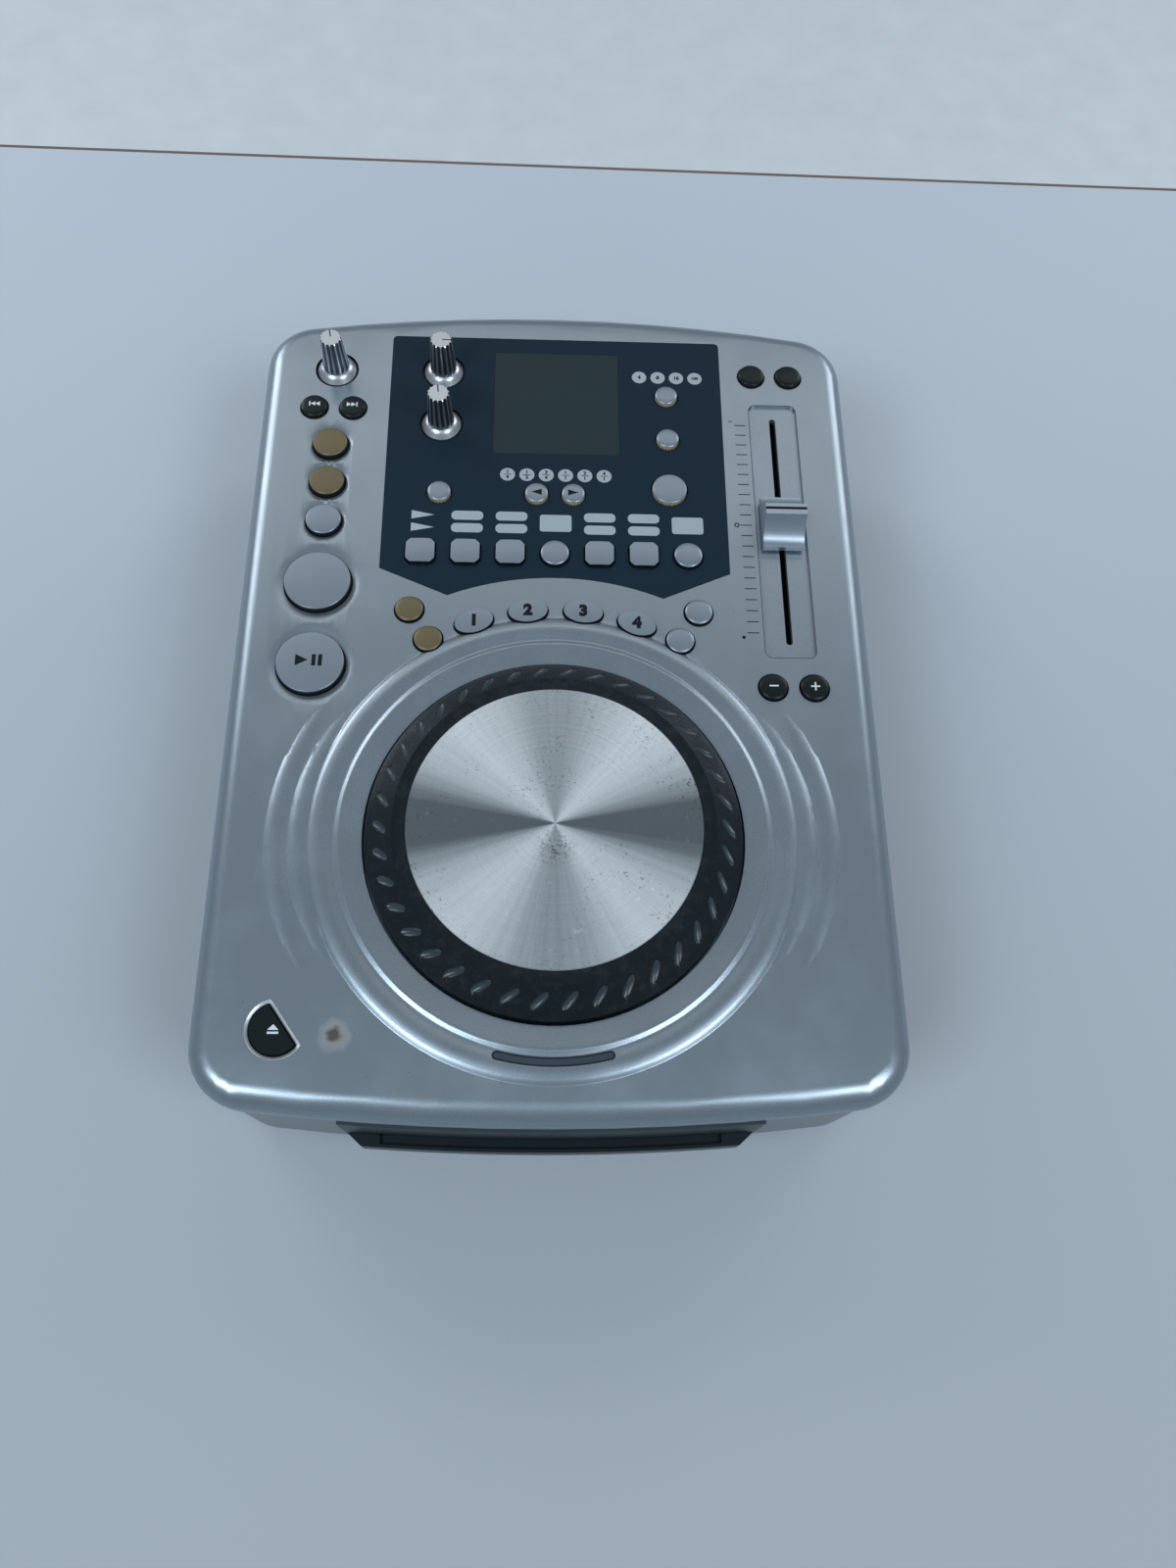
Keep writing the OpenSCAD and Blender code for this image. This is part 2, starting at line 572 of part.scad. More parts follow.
module base_pan() {
    color([0.8, 0.82, 0.82]) difference() {
        union() {
            difference() {
                pan_body(0, pan_z, band_z - 0.4);
                pan_body(pan_t, pan_z + pan_t, band_z + 1);
            }
            for (b = bosses) translate([b[0], b[1], 0]) rod(tall_boss_r, pan_z + 1, pan_boss_z);
            for (f = pan_posts) translate([f[0], f[1], 0]) rod(post_r, pan_z + 1, f[2]);
        }
        for (b = bosses) translate([b[0], b[1], 0]) {
            rod(screw_head_r + 0.5, pan_z - 1, head_seat);
            rod(screw_hole_r, pan_z, top_z);
        }
        for (f = pan_posts) translate([f[0], f[1], 0]) rod(pilot_r, f[2] + board_t - screw_l - 0.2, f[2] + 1);
        for (f = feet_at) translate([f[0], f[1], 0]) rod(2.1, pan_z - 1, pan_z + 5);
        box(-front_x, front_x, front_y - 20, front_y + 14, tray_front_z0 - 1, tray_front_z1 + 1);
        for (i = [0:5], x = [-vent_l - 16, 16])
            box(x, x + vent_l, vent_y0 + i * vent_pitch, vent_y0 + i * vent_pitch + vent_w, pan_z - 1, pan_z + 5);
        for (x = sockets_x) translate([x, rear_wall_y, socket_z]) rotate([90, 0, 0]) cylinder(r = rca_r + 0.4, h = 8, center = true, $fn = coarse);
        translate([jack_x, rear_wall_y, socket_z]) rotate([90, 0, 0]) cylinder(r = jack_r + 0.4, h = 8, center = true, $fn = coarse);
        box(inlet_x - inlet_w / 2 - 0.2, inlet_x + inlet_w / 2 + 0.2, rear_wall_y - 5, rear_wall_y + 5,
            socket_z - inlet_h / 2 - 0.2, socket_z + inlet_h / 2 + 0.2);
        box(switch_x - rocker_w / 2 - 1.3, switch_x + rocker_w / 2 + 1.3, rear_wall_y - 5, rear_wall_y + 5,
            socket_z - rocker_h / 2 - 1.3, socket_z + rocker_h / 2 + 1.3);
    }
}
module feet() {
    color([0.13, 0.13, 0.14]) for (f = feet_at) translate([f[0], f[1], 0]) difference() {
        union() {
            rotate_extrude($fn = fine) polygon([[0, 0], [foot_r - 1.6, 0], [foot_r - 0.9, 0.5], [foot_r, foot_h], [0, foot_h]]);
            rod(1.9, foot_h - 1, foot_h + pan_t + 1);
            rotate_extrude($fn = coarse) polygon([[0, foot_h + pan_t + 0.05], [2.9, foot_h + pan_t + 0.05], [1.4, foot_h + pan_t + 3], [0, foot_h + pan_t + 3]]);
        }
        translate([0, 0, -1]) cylinder(r = 3.2, h = 3.5, $fn = coarse);
    }
}
// A screw whose head stands on the face at the given height; turn is 180 for one driven from below.
module screw(x, y, z, turn) translate([x, y, z]) rotate([turn, 0, 0]) difference() {
    union() {
        cylinder(r = screw_head_r, h = screw_head_h, $fn = coarse);
        translate([0, 0, -screw_l]) cylinder(r = screw_r, h = screw_l + 1, $fn = coarse);
    }
    translate([0, 0, screw_head_h - 1.2]) for (a = [0, 90]) rotate([0, 0, a]) translate([-1.8, -0.35, 0]) cube([3.6, 0.7, 2]);
}
module screws() {
    color("darkgray") {
        for (b = bosses) screw(b[0], b[1], head_seat, 180);
        for (b = board_posts) screw(b[0], jog_y + b[1], board_z, 180);
        for (f = main_posts) screw(f[0], f[1], main_z + board_t, 0);
        for (f = supply_posts) screw(f[0], f[1], supply_z + board_t, 0);
        for (f = loader_posts) screw(f[0], f[1], deck_z + deck_t, 0);
    }
}

// Control board with its switches, display module, rotary controls and the jog wheel's sensor
shaft_hole_r = knob_shaft_r + run_gap;
board_in = 12;
board_y0 = jog_y + 52;
board_y1 = rear_y - 26;
strip_w = 20;
sensor_w = 7;
sensor_y0 = 25;
sensor_y1 = 34;
sensor_top = well_z + 6.6;
module on_board(w) translate([-w / 2, -w / 2, board_z + 1]) children();
module control_board() {
    color([0.16, 0.36, 0.22]) difference() {
        union() {
            translate([0, 0, board_z]) linear_extrude(board_t) difference() {
                union() {
                    translate([-hw + board_in, board_y0]) square([2 * (hw - board_in), board_y1 - board_y0]);
                    translate([eject_x - 12, jog_y + eject_dy - 12]) square([strip_w, board_y0 - jog_y - eject_dy + 13]);
                }
                translate([0, jog_y]) circle(r = well_r + 6, $fn = fine);
                translate([fader_x - fader_box_w / 2 - 2, fader_y0 - fader_box_l / 2 - 2]) square([fader_box_w + 4, fader_box_l + 4]);
            }
            box(-sensor_w / 2 - 2, sensor_w / 2 + 2, jog_y + sensor_y0 - 1, jog_y + well_r + 12, board_z, board_z + board_t);
            box(-sensor_w / 2, sensor_w / 2, jog_y + sensor_y0, jog_y + sensor_y1, board_z + 1, sensor_top);
            for (k = keys) at_key(k) on_board(switch_w) cube([switch_w, switch_w, switch_top - board_z - 1]);
            translate([eject_x - 2, jog_y + eject_dy, 0]) on_board(switch_w) cube([switch_w, switch_w, switch_top - board_z - 1]);
            for (p = knobs) translate([p[0], jog_y + p[1], 0]) on_board(control_w) cube([control_w, control_w, control_top - board_z - 1]);
            translate([0, jog_y + display_y, board_z + 1]) {
                linear_extrude(under_z - 0.2 - board_z - 1) square([display_w + 6, display_w - 3], center = true);
                linear_extrude(top_z - window_t - board_z - 1) square([display_w - 4, display_w - 4], center = true);
            }
        }
        for (p = knobs) translate([p[0], jog_y + p[1], 0]) rod(shaft_hole_r, control_top - shaft_in, top_z);
        for (b = bosses) translate([b[0], b[1], 0]) rod(boss_r + 1, board_z - 1, board_z + board_t + 1);
        for (b = board_posts) translate([b[0], jog_y + b[1], 0]) rod(screw_hole_r, board_z - 1, board_z + board_t + 1);
        box(-sensor_w, sensor_w, jog_y + sensor_y0 - 1, jog_y + encoder_r + 0.8, encoder_z - 0.6, encoder_z + encoder_t + 0.6);
    }
}

// Main board with the sockets along the rear wall
module socket(x, r, out) translate([x, rear_wall_y, socket_z]) rotate([-90, 0, 0]) {
    translate([0, 0, -12]) cylinder(r = r, h = 12 + out, $fn = coarse);
}
module main_board() {
    z0 = main_z;
    color([0.16, 0.36, 0.22]) difference() {
        union() {
            box(-100, -24, rear_wall_y - 62, rear_wall_y - 6, z0, z0 + board_t);
            for (x = sockets_x) {
                socket(x, rca_r, 8.5);
                box(x - 6, x + 6, rear_wall_y - 16, rear_wall_y - pan_t - 0.5, z0 + 1, socket_z + 7);
            }
            socket(jack_x, jack_r, 1);
            box(jack_x - 6, jack_x + 6, rear_wall_y - 16, rear_wall_y - pan_t - 0.5, z0 + 1, socket_z + 6);
            box(-80, -60, rear_wall_y - 48, rear_wall_y - 28, z0 + 1, z0 + 4);
            for (x = [-96, -86]) translate([x, rear_wall_y - 40, 0]) rod(4, z0 + 1, z0 + 13);
        }
        for (x = sockets_x) translate([x, rear_wall_y, socket_z]) rotate([-90, 0, 0]) cylinder(r = 1.6, h = 12, $fn = coarse);
        translate([jack_x, rear_wall_y - 10, socket_z]) rotate([-90, 0, 0]) cylinder(r = 1.75, h = 14, $fn = coarse);
        for (f = main_posts) translate([f[0], f[1], 0]) rod(screw_hole_r, z0 - 1, z0 + board_t + 1);
    }
}

// Power supply: board, transformer, mains inlet and the housing of the power switch
pivot_y = rear_wall_y - 3;
pivot_r = 1.2;
module power_supply() {
    z0 = supply_z;
    color([0.55, 0.5, 0.3]) {
        difference() {
            union() {
                box(18, 100, rear_wall_y - 66, rear_wall_y - 5, z0, z0 + board_t);
                box(54, 92, rear_wall_y - 62, rear_wall_y - 24, z0 + 1, z0 + 34);
                for (x = [28, 40]) translate([x, rear_wall_y - 46, 0]) rod(5, z0 + 1, z0 + 22);
                box(inlet_x - inlet_w / 2, inlet_x + inlet_w / 2, rear_wall_y - 24.5, rear_wall_y + 1.2,
                    socket_z - inlet_h / 2, socket_z + inlet_h / 2);
                box(switch_x - rocker_w / 2 - 1.2, switch_x + rocker_w / 2 + 1.2, rear_wall_y - 14, rear_wall_y + 1,
                    socket_z - rocker_h / 2 - 1.2, socket_z + rocker_h / 2 + 1.2);
                box(switch_x - 5, switch_x + 5, rear_wall_y - 13, rear_wall_y - 6, z0 + 1, socket_z);
            }
            box(inlet_x - 11.5, inlet_x + 11.5, rear_wall_y - 15, rear_wall_y + 5, socket_z - 7.5, socket_z + 7.5);
            box(switch_x - rocker_w / 2 - 0.2, switch_x + rocker_w / 2 + 0.2, rear_wall_y - 11, rear_wall_y + 5,
                socket_z - rocker_h / 2, socket_z + rocker_h / 2);
            for (f = supply_posts) translate([f[0], f[1], 0]) rod(screw_hole_r, z0 - 1, z0 + board_t + 1);
        }
        for (x = [-7, 0, 7]) box(inlet_x + x - 1, inlet_x + x + 1, rear_wall_y - 16, rear_wall_y - 2,
            socket_z + (x == 0 ? 1.5 : -3), socket_z + (x == 0 ? 5.5 : 1));
        translate([switch_x, pivot_y, socket_z]) rotate([0, 90, 0])
            cylinder(r = pivot_r, h = rocker_w + 1.4, center = true, $fn = coarse);
    }
}
module power_switch() {
    color([0.1, 0.1, 0.11]) difference() {
        translate([switch_x, rear_wall_y + 0.6, socket_z]) rotate([90, 0, 90]) linear_extrude(rocker_w, center = true)
            polygon(concat([[-9, -6], [-9, 6], [-1, 8.6]], [for (i = [0:8]) [2.2 - 1.6 * sin(i * 22.5), 8.2 - i * 2.05]],
                [[-1, -8.6]]));
        translate([switch_x, pivot_y, socket_z]) rotate([0, 90, 0])
            cylinder(r = pivot_r + run_gap, h = rocker_w + 2, center = true, $fn = coarse);
    }
}

// Jog wheel
ring_r = well_r - jog_gap;
jog_top = top_z + disc_h;
ring_step_z = top_z + 2.6;
band_r = disc_r + 0.2 + band_w;
jog_low = well_z + 1.6;
disc_t = 1.4;
band_drop = 0.5;
dimple_d = 0.9;
dimple_lean = -40;
cutter_r = 11.7;
cutter_t = 1.87;
slope_a = atan((jog_top - band_drop - ring_step_z) / (ring_r - band_r));
module dimple_cutter() rotate([0, 0, dimple_lean]) rotate([90, 0, 0]) rotate_extrude($fn = fine)
    translate([cutter_r - cutter_t, 0]) circle(r = cutter_t, $fn = 24);
module jog_ring() {
    color([0.16, 0.18, 0.2]) translate([0, jog_y, 0]) difference() {
        rotate_extrude($fn = 144) polygon([
            [jog_shaft_r + fit_gap, well_z + 6], [10, well_z + 6], [12, jog_top - 6], [band_r - 4, jog_top - 6],
            [ring_r - 4.5, ring_step_z - 2.5], [ring_r - 2.2, ring_step_z - 5], [ring_r - 2.2, jog_low], [ring_r, jog_low],
            [ring_r, ring_step_z - 0.8], [ring_r - 0.6, ring_step_z],
            [band_r + 0.5, jog_top - band_drop], [disc_r + 0.2, jog_top - band_drop], [disc_r + 0.2, jog_top - disc_t],
            [jog_shaft_r + fit_gap, jog_top - disc_t]]);
        for (i = [0:dimples - 1]) rotate([0, 0, i * 360 / dimples])
            translate([(ring_r + band_r) / 2, 0, (ring_step_z + jog_top - band_drop) / 2]) rotate([0, slope_a, 0])
                translate([0, 0, cutter_r - dimple_d]) dimple_cutter();
    }
}
module jog_disc() {
    color("gainsboro") translate([0, jog_y, 0]) rotate_extrude($fn = 144)
        polygon([[0, jog_top - disc_t], [disc_r, jog_top - disc_t], [disc_r, jog_top - 0.3], [disc_r - 0.3, jog_top], [0, jog_top]]);
}
// Shaft with the slotted disc that the sensor reads, and the clip that holds it in its bush
spindle_z = well_z - 9;
bush_r = jog_shaft_r + 3;
bush_z0 = spindle_z + 1.2;
encoder_z = well_z + 3;
encoder_t = 1;
encoder_r = 30;
module jog_spindle() {
    color("silver") translate([0, jog_y, 0]) difference() {
        union() {
            rod(jog_shaft_r, spindle_z, jog_top - disc_t - 0.05);
            rod(encoder_r, encoder_z, encoder_z + encoder_t);
            rod(jog_shaft_r + 4, encoder_z, well_z + 5.95);
            rod(jog_shaft_r + 2, spindle_z + 0.3, bush_z0 - 0.1);
        }
        for (i = [0:23]) rotate([0, 0, i * 15]) box(encoder_r - 3.5, encoder_r - 1, -1, 1, well_z, well_z + 6);
    }
}
module jog_bearing() {
    color("goldenrod") translate([0, jog_y, 0]) {
        difference() {
            union() {
                rod(bush_r - fit_gap, bush_z0, encoder_z - 0.05);
                rod(bush_r + 2, bush_z0, well_z - 2.05);
            }
            rod(jog_shaft_r + run_gap, spindle_z, well_z + 4);
        }
    }
}

// Disc drawer and loader
tray_z = 46;
tray_top = tray_z + 7;
tray_hw = 65;
well_y = front_y + 84;
tray_y0 = front_y + 16;
tray_y1 = tray_y0 + 164;
deck_z = 31;
deck_t = board_t;
media_r = media_d / 2;
slot_hw = 19;
gear_x = -44;
pitch_r = gear_m * gear_teeth / 2;
rack_x = gear_x - pitch_r;
gear_y = tray_y0 + 10;
pitch = PI * gear_m;
rack_n = ceil(tray_travel / pitch) + 5;
rack_y0 = gear_y - 2 * pitch;
loader_y0 = tray_y0 + 2;
loader_y1 = tray_y1 + 8;
rail_hw = tray_hw + tray_gap;
loader_posts = [for (x = [-62, 62], y = [loader_y0 + 34, loader_y1 - 12]) [x, y]];
pan_posts = concat([for (f = main_posts) [f[0], f[1], main_z]], [for (f = supply_posts) [f[0], f[1], supply_z]],
    [for (f = loader_posts) [f[0], f[1], deck_z]]);
lip_z = tray_front_z0 + 12;
lip_chamfer = 6;

// The drawer's front follows the bow of the case.
module front_face(out, d, z0, z1, w) intersection() {
    translate([0, front_c, z0]) cylinder(r = front_bow_r + out, h = z1 - z0, $fn = 720);
    difference() {
        box(-w / 2, w / 2, front_y - 20, front_y + 14, z0, z1);
        translate([0, front_c, z0 - 1]) cylinder(r = front_bow_r + out - d, h = z1 - z0 + 2, $fn = 720);
    }
}
module tray_front() {
    x = front_w / 2;
    xc = x - lip_chamfer;
    color([0.07, 0.12, 0.15]) difference() {
        union() {
            front_face(0.8, 8, tray_front_z0, tray_front_z1, front_w);
            intersection() {
                front_face(lip_out, lip_out + 4, lip_z - 4, lip_z + 5, front_w);
                translate([0, 0, lip_z - 5]) linear_extrude(11) polygon([[-x, front_y + 14], [-x, front_y + 2.4],
                    [-xc, front_y - 3], [-xc, front_y - 20], [xc, front_y - 20], [xc, front_y - 3],
                    [x, front_y + 2.4], [x, front_y + 14]]);
            }
            for (s = [-1, 1]) box(s * 46 - 6, s * 46 + 6, front_y + 6, tray_y0, tray_z, tray_z + 5);
        }
        translate([0, 0, lip_z + 3]) intersection() {
            front_face(lip_out - 1.2, 3.4, 0, 5, front_w - 24);
            box(-x, x, -300, 0, 0, 6);
        }
    }
}
flank = tan(20);
tooth_half = pitch / 4 - 0.08;
module rack() linear_extrude(5) for (i = [0:rack_n - 1]) translate([rack_x, rack_y0 + i * pitch])
    polygon([[-1.25 * gear_m - 0.5, -tooth_half - 1.25 * gear_m * flank], [gear_m, -tooth_half + gear_m * flank],
        [gear_m, tooth_half - gear_m * flank], [-1.25 * gear_m - 0.5, tooth_half + 1.25 * gear_m * flank]]);
module disc_tray() {
    color([0.11, 0.12, 0.13]) difference() {
        union() {
            box(-tray_hw, tray_hw, tray_y0, tray_y1, tray_z, tray_top);
            translate([0, 0, tray_z - 5]) rack();
            box(rack_x - 6, rack_x - 1.25, rack_y0 - 3, rack_y0 + rack_n * pitch, tray_z - 5, tray_z + 0.5);
        }
        translate([0, well_y, 0]) rod(media_r + 0.7, tray_z + tray_t, tray_top + 1);
        translate([0, well_y, 0]) rod(40.5, tray_z + tray_t - 0.6, tray_top + 1);
        box(-slot_hw, slot_hw, well_y, tray_y1 + 1, tray_z - 1, tray_top + 1);
        translate([0, well_y, 0]) rod(slot_hw, tray_z - 1, tray_top + 1);
        for (s = [-1, 1]) translate([s * 66, well_y, 0]) rod(13, tray_z + tray_t, tray_top + 1);
        box(-tray_hw + 3, tray_hw - 3, well_y + media_r + 6, tray_y1 - 3, tray_z + tray_t, tray_top + 1);
    }
}
module loader_frame() {
    color([0.75, 0.76, 0.78]) difference() {
        union() {
            box(-rail_hw - 3, rail_hw + 3, loader_y0, loader_y1, deck_z, deck_z + deck_t);
            for (s = [-1, 1]) {
                box(s * (rail_hw + 1.5) - 1.5, s * (rail_hw + 1.5) + 1.5, loader_y0, loader_y1, deck_z, tray_top + 6);
                box(s * (rail_hw - 1) - 2.5, s * (rail_hw - 1) + 2.5, loader_y0 + 4, loader_y1, tray_z - 3.5, tray_z - 0.3);
                box(s * (rail_hw - 0.5) - 2, s * (rail_hw - 0.5) + 2, loader_y0 + 4, loader_y1, tray_top + 0.4, tray_top + 2.4);
                for (y = [0, 1]) box(s * 12 - 1.5, s * 12 + 1.5, well_y + 17 + y * 57, well_y + 20 + y * 57, deck_z + 1, sled_z + 3);
                translate([s * 12, well_y + 17, sled_z]) rotate([-90, 0, 0]) cylinder(r = rail_r, h = 60, $fn = coarse);
            }
            box(-rail_hw - 1, rail_hw + 1, well_y - 14, well_y + 14, clamp_z, clamp_z + 2);
            translate([gear_x, gear_y, 0]) rod(motor_r, pan_z + 6, deck_z + 1);
            translate([0, well_y, 0]) rod(15, deck_z + 1, hub_z - 3);
        }
        translate([gear_x, gear_y, 0]) rod(gear_shaft_r + run_gap, deck_z - gear_shaft_in - 0.2, deck_z + 3);
        translate([0, well_y, 0]) rod(clamp_hole_r, clamp_z - 1, clamp_z + 3);
        translate([0, well_y, 0]) rod(hub_shaft_r + run_gap, deck_z - 1, hub_z);
        for (f = loader_posts) translate([f[0], f[1], 0]) rod(screw_hole_r, deck_z - 1, deck_z + 3);
    }
}
sled_z = 36;
rail_r = 1.5;
clamp_z = tray_top + 2.4;
clamp_hole_r = 11;
hub_z = tray_z + 1;
hub_shaft_r = 1;
gear_shaft_r = 2;
gear_shaft_in = 6;
motor_r = 9;
gear_z = deck_z + deck_t + 0.4;
function involute(rb, t) = [rb * (cos(t) + t * PI / 180 * sin(t)), rb * (sin(t) - t * PI / 180 * cos(t))];
base_r = pitch_r * cos(20);
tip_t = sqrt(pow((pitch_r + gear_m) / base_r, 2) - 1) * 180 / PI;
pitch_t = sqrt(pow(pitch_r / base_r, 2) - 1) * 180 / PI;
pitch_off = pitch_t - atan(pitch_t * PI / 180);
half_a = 90 / gear_teeth - 0.25;
function turned(p, a) = [p[0] * cos(a) - p[1] * sin(a), p[0] * sin(a) + p[1] * cos(a)];
tooth_side = [for (i = [0:5]) turned(involute(base_r, tip_t * i / 5), -pitch_off - half_a)];
function mirrored(p) = [for (i = [len(p) - 1:-1:0]) [p[i][0], -p[i][1]]];
module loader_gear() {
    color("ivory") translate([gear_x, gear_y, 0]) union() {
        translate([0, 0, gear_z]) linear_extrude(tray_z - 0.8 - gear_z) union() {
            circle(r = pitch_r - 1.25 * gear_m, $fn = fine);
            for (i = [0:gear_teeth - 1]) rotate([0, 0, 180 + (i + 0.5) * 360 / gear_teeth])
                polygon(concat([[base_r - 2, -1]], tooth_side, mirrored(tooth_side), [[base_r - 2, 1]]));
        }
        rod(gear_shaft_r, deck_z - gear_shaft_in, gear_z + 1);
    }
}
module disc_hub() {
    color("dimgray") translate([0, well_y, 0]) union() {
        rotate_extrude($fn = fine) polygon([[0, hub_z - 2.6], [14.5, hub_z - 2.6], [14.5, hub_z + 1.6],
            [7.4, hub_z + 1.6], [6.6, hub_z + 3.4], [0, hub_z + 3.4]]);
        rod(hub_shaft_r, deck_z + 0.2, hub_z - 2);
    }
}
module disc_clamp() {
    color([0.2, 0.2, 0.22]) translate([0, well_y, 0]) union() {
        rod(13.5, clamp_z + 2.3, clamp_z + 3.4);
        rod(clamp_hole_r - 1.2, clamp_z - 2, clamp_z + 2.8);
        rod(13.2, clamp_z - 3.4, clamp_z - 1.9);
    }
}
module laser_sled() {
    color([0.25, 0.25, 0.27]) translate([0, well_y + 22, 0]) difference() {
        union() {
            box(-16, 16, 0, 17, deck_z + deck_t + 0.3, sled_z + 5);
            translate([0, 6, 0]) rod(5.5, sled_z + 4, sled_z + 8);
            translate([0, 6, 0]) rod(2.4, sled_z + 7, sled_z + 9.4);
        }
        for (s = [-1, 1]) translate([s * 12, -1, sled_z]) rotate([-90, 0, 0]) cylinder(r = rail_r + run_gap, h = 20, $fn = coarse);
    }
}

top_cover();
base_pan();
feet();
screws();
control_panel();
display_window();
lamp_windows();
control_board();
main_board();
power_supply();
power_switch();
jog_ring();
jog_disc();
jog_spindle();
jog_bearing();
search_knob();
upper_knob();
lower_knob();
fader_body();
fader_cap();
disc_tray();
tray_front();
loader_frame();
loader_gear();
disc_hub();
disc_clamp();
laser_sled();
eject_key();
for (k = keys) key(k);
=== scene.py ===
import json
import math

import bmesh
import bpy
from mathutils import Matrix, Vector


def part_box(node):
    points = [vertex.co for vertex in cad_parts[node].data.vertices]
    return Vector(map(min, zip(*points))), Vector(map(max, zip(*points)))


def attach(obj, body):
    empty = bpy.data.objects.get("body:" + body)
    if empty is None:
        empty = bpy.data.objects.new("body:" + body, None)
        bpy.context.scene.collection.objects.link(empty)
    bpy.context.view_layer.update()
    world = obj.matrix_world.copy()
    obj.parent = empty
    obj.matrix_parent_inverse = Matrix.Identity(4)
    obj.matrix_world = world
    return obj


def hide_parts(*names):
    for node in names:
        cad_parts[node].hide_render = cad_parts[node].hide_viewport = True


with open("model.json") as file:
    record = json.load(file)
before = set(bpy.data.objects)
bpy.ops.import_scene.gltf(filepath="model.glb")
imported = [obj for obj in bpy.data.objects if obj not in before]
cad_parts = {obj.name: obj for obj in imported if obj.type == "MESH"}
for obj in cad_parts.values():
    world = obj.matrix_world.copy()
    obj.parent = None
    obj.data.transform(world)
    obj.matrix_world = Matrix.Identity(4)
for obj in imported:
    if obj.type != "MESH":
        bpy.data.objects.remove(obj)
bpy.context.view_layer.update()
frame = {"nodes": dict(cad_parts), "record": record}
nodes = frame["nodes"]
print("frame loaded,", len(nodes), "nodes")

mm = 0.001


def middle(node):
    low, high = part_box(node)
    return (low + high) / 2


# places that everything else is set out from
jog = middle("jog_disc")
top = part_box("control_panel")[1].z  # the flat top of the cover


# shader maths: a field is a socket that adds, subtracts and multiplies like a number
class Field:
    def __init__(self, finish, socket):
        self.finish = finish
        self.socket = socket

    def maths(self, operation, first, second):
        return self.finish.add("Math", {"operation": operation}, {0: first, 1: second})

    def __add__(self, other):
        return self.maths("ADD", self, other)

    def __sub__(self, other):
        return self.maths("SUBTRACT", self, other)

    def __rsub__(self, other):
        return self.maths("SUBTRACT", other, self)

    def __mul__(self, other):
        return self.maths("MULTIPLY", self, other)

    __radd__ = __add__
    __rmul__ = __mul__

    # 0 at low, 1 at high and no further; low may be the greater of the two
    def between(self, low, high):
        return self.finish.add("MapRange", {"clamp": True}, {0: self, 1: low, 2: high, 3: 0.0, 4: 1.0})


# a material with one Principled shader; the fixed values are named after its sockets, with _ for a space
class Finish:
    def __init__(self, name, colour, roughness, metallic=0.0, **fixed):
        self.material = bpy.data.materials.new(name)
        self.material.use_nodes = True
        self.material.diffuse_color = (*colour, 1)
        self.tree = self.material.node_tree
        self.shader = next(n for n in self.tree.nodes if n.type == "BSDF_PRINCIPLED")
        self.place = self.add("TexCoord", {}, {}, "Object")
        self.paint("Base Color", (*colour, 1))
        self.paint("Roughness", roughness)
        self.paint("Metallic", metallic)
        for key, value in fixed.items():
            self.paint(key.replace("_", " "), value)

    # any node: its type, its settings, then the values or links of its sockets
    def add(self, kind, settings, inputs, output=0):
        node = self.tree.nodes.new("ShaderNode" + kind)
        for key, value in settings.items():
            setattr(node, key, value)
        for key, value in inputs.items():
            self.feed(node.inputs[key], value)
        return Field(self, node.outputs[output])

    def feed(self, socket, value):
        if isinstance(value, Field):
            self.tree.links.new(value.socket, socket)
        else:
            socket.default_value = value

    def paint(self, name, value):
        self.feed(self.shader.inputs[name], value)

    def noise(self, scale, detail=2.0, roughness=0.5, place=None):
        inputs = {"Vector": place or self.place, "Scale": scale, "Detail": detail, "Roughness": roughness}
        return self.add("TexNoise", {}, inputs)

    # noise as a mask, 0 under the low level and 1 over the high one
    def specks(self, scale, detail, roughness, low, high, place=None):
        return self.noise(scale, detail, roughness, place).between(low, high)

    def mix(self, factor, a, b):
        a = (*a, 1) if isinstance(a, tuple) else a
        b = (*b, 1) if isinstance(b, tuple) else b
        return self.add("Mix", {"data_type": "RGBA"}, {0: factor, 6: a, 7: b}, 2)

    # lays colours over a tone: each has a mask, how much of it shows, and the colour
    def coats(self, tone, *coats):
        for mask, share, colour in coats:
            tone = self.mix(mask * share, tone, colour)
        return tone

    def moved(self, centre, scale=(1, 1, 1)):
        shift = tuple(-c * s for c, s in zip(centre, scale))
        return self.add("Mapping", {}, {"Vector": self.place, "Location": shift, "Scale": scale})

    def reach(self, centre, scale=(1, 1, 1)):
        return self.add("VectorMath", {"operation": "LENGTH"}, {0: self.moved(centre, scale)}, "Value")

    def bump(self, height, distance, strength):
        self.paint("Normal", self.add("Bump", {}, {"Height": height, "Distance": distance, "Strength": strength}))


def shade(colour, amount):
    return tuple(c * amount for c in colour)


flatOnly = (1, 1, 0)  # the scale that leaves height out of a pattern

# the cover's silver: flakes in the paint, clouds, smudges that dull it, and a few dark specks
silverForm = dict(
    colour=(0.256, 0.31, 0.358), roughness=0.265, metallic=0.78, coat=0.06, coatRoughness=0.25,
    flakeScale=5200, flakeSpan=(0.3, 0.7), flakeShades=(0.78, 1.25), flakeDepth=0.012, flakeBump=0.5,
    cloudScale=9, cloudSpan=(0.35, 0.7), cloudShade=0.9, cloudShare=0.25,
    smudge=dict(scale=42, detail=4, roughness=0.6, low=0.45, high=0.75),
    speck=dict(scale=620, detail=2, roughness=0.5, low=0.76, high=0.79),
    speckShift=(0.31, 0.12, 0.4), speckShare=0.5, speckColour=(0.05, 0.055, 0.06),
    dulling=dict(smudge=0.07, flake=0.05, stain=0.2),
)
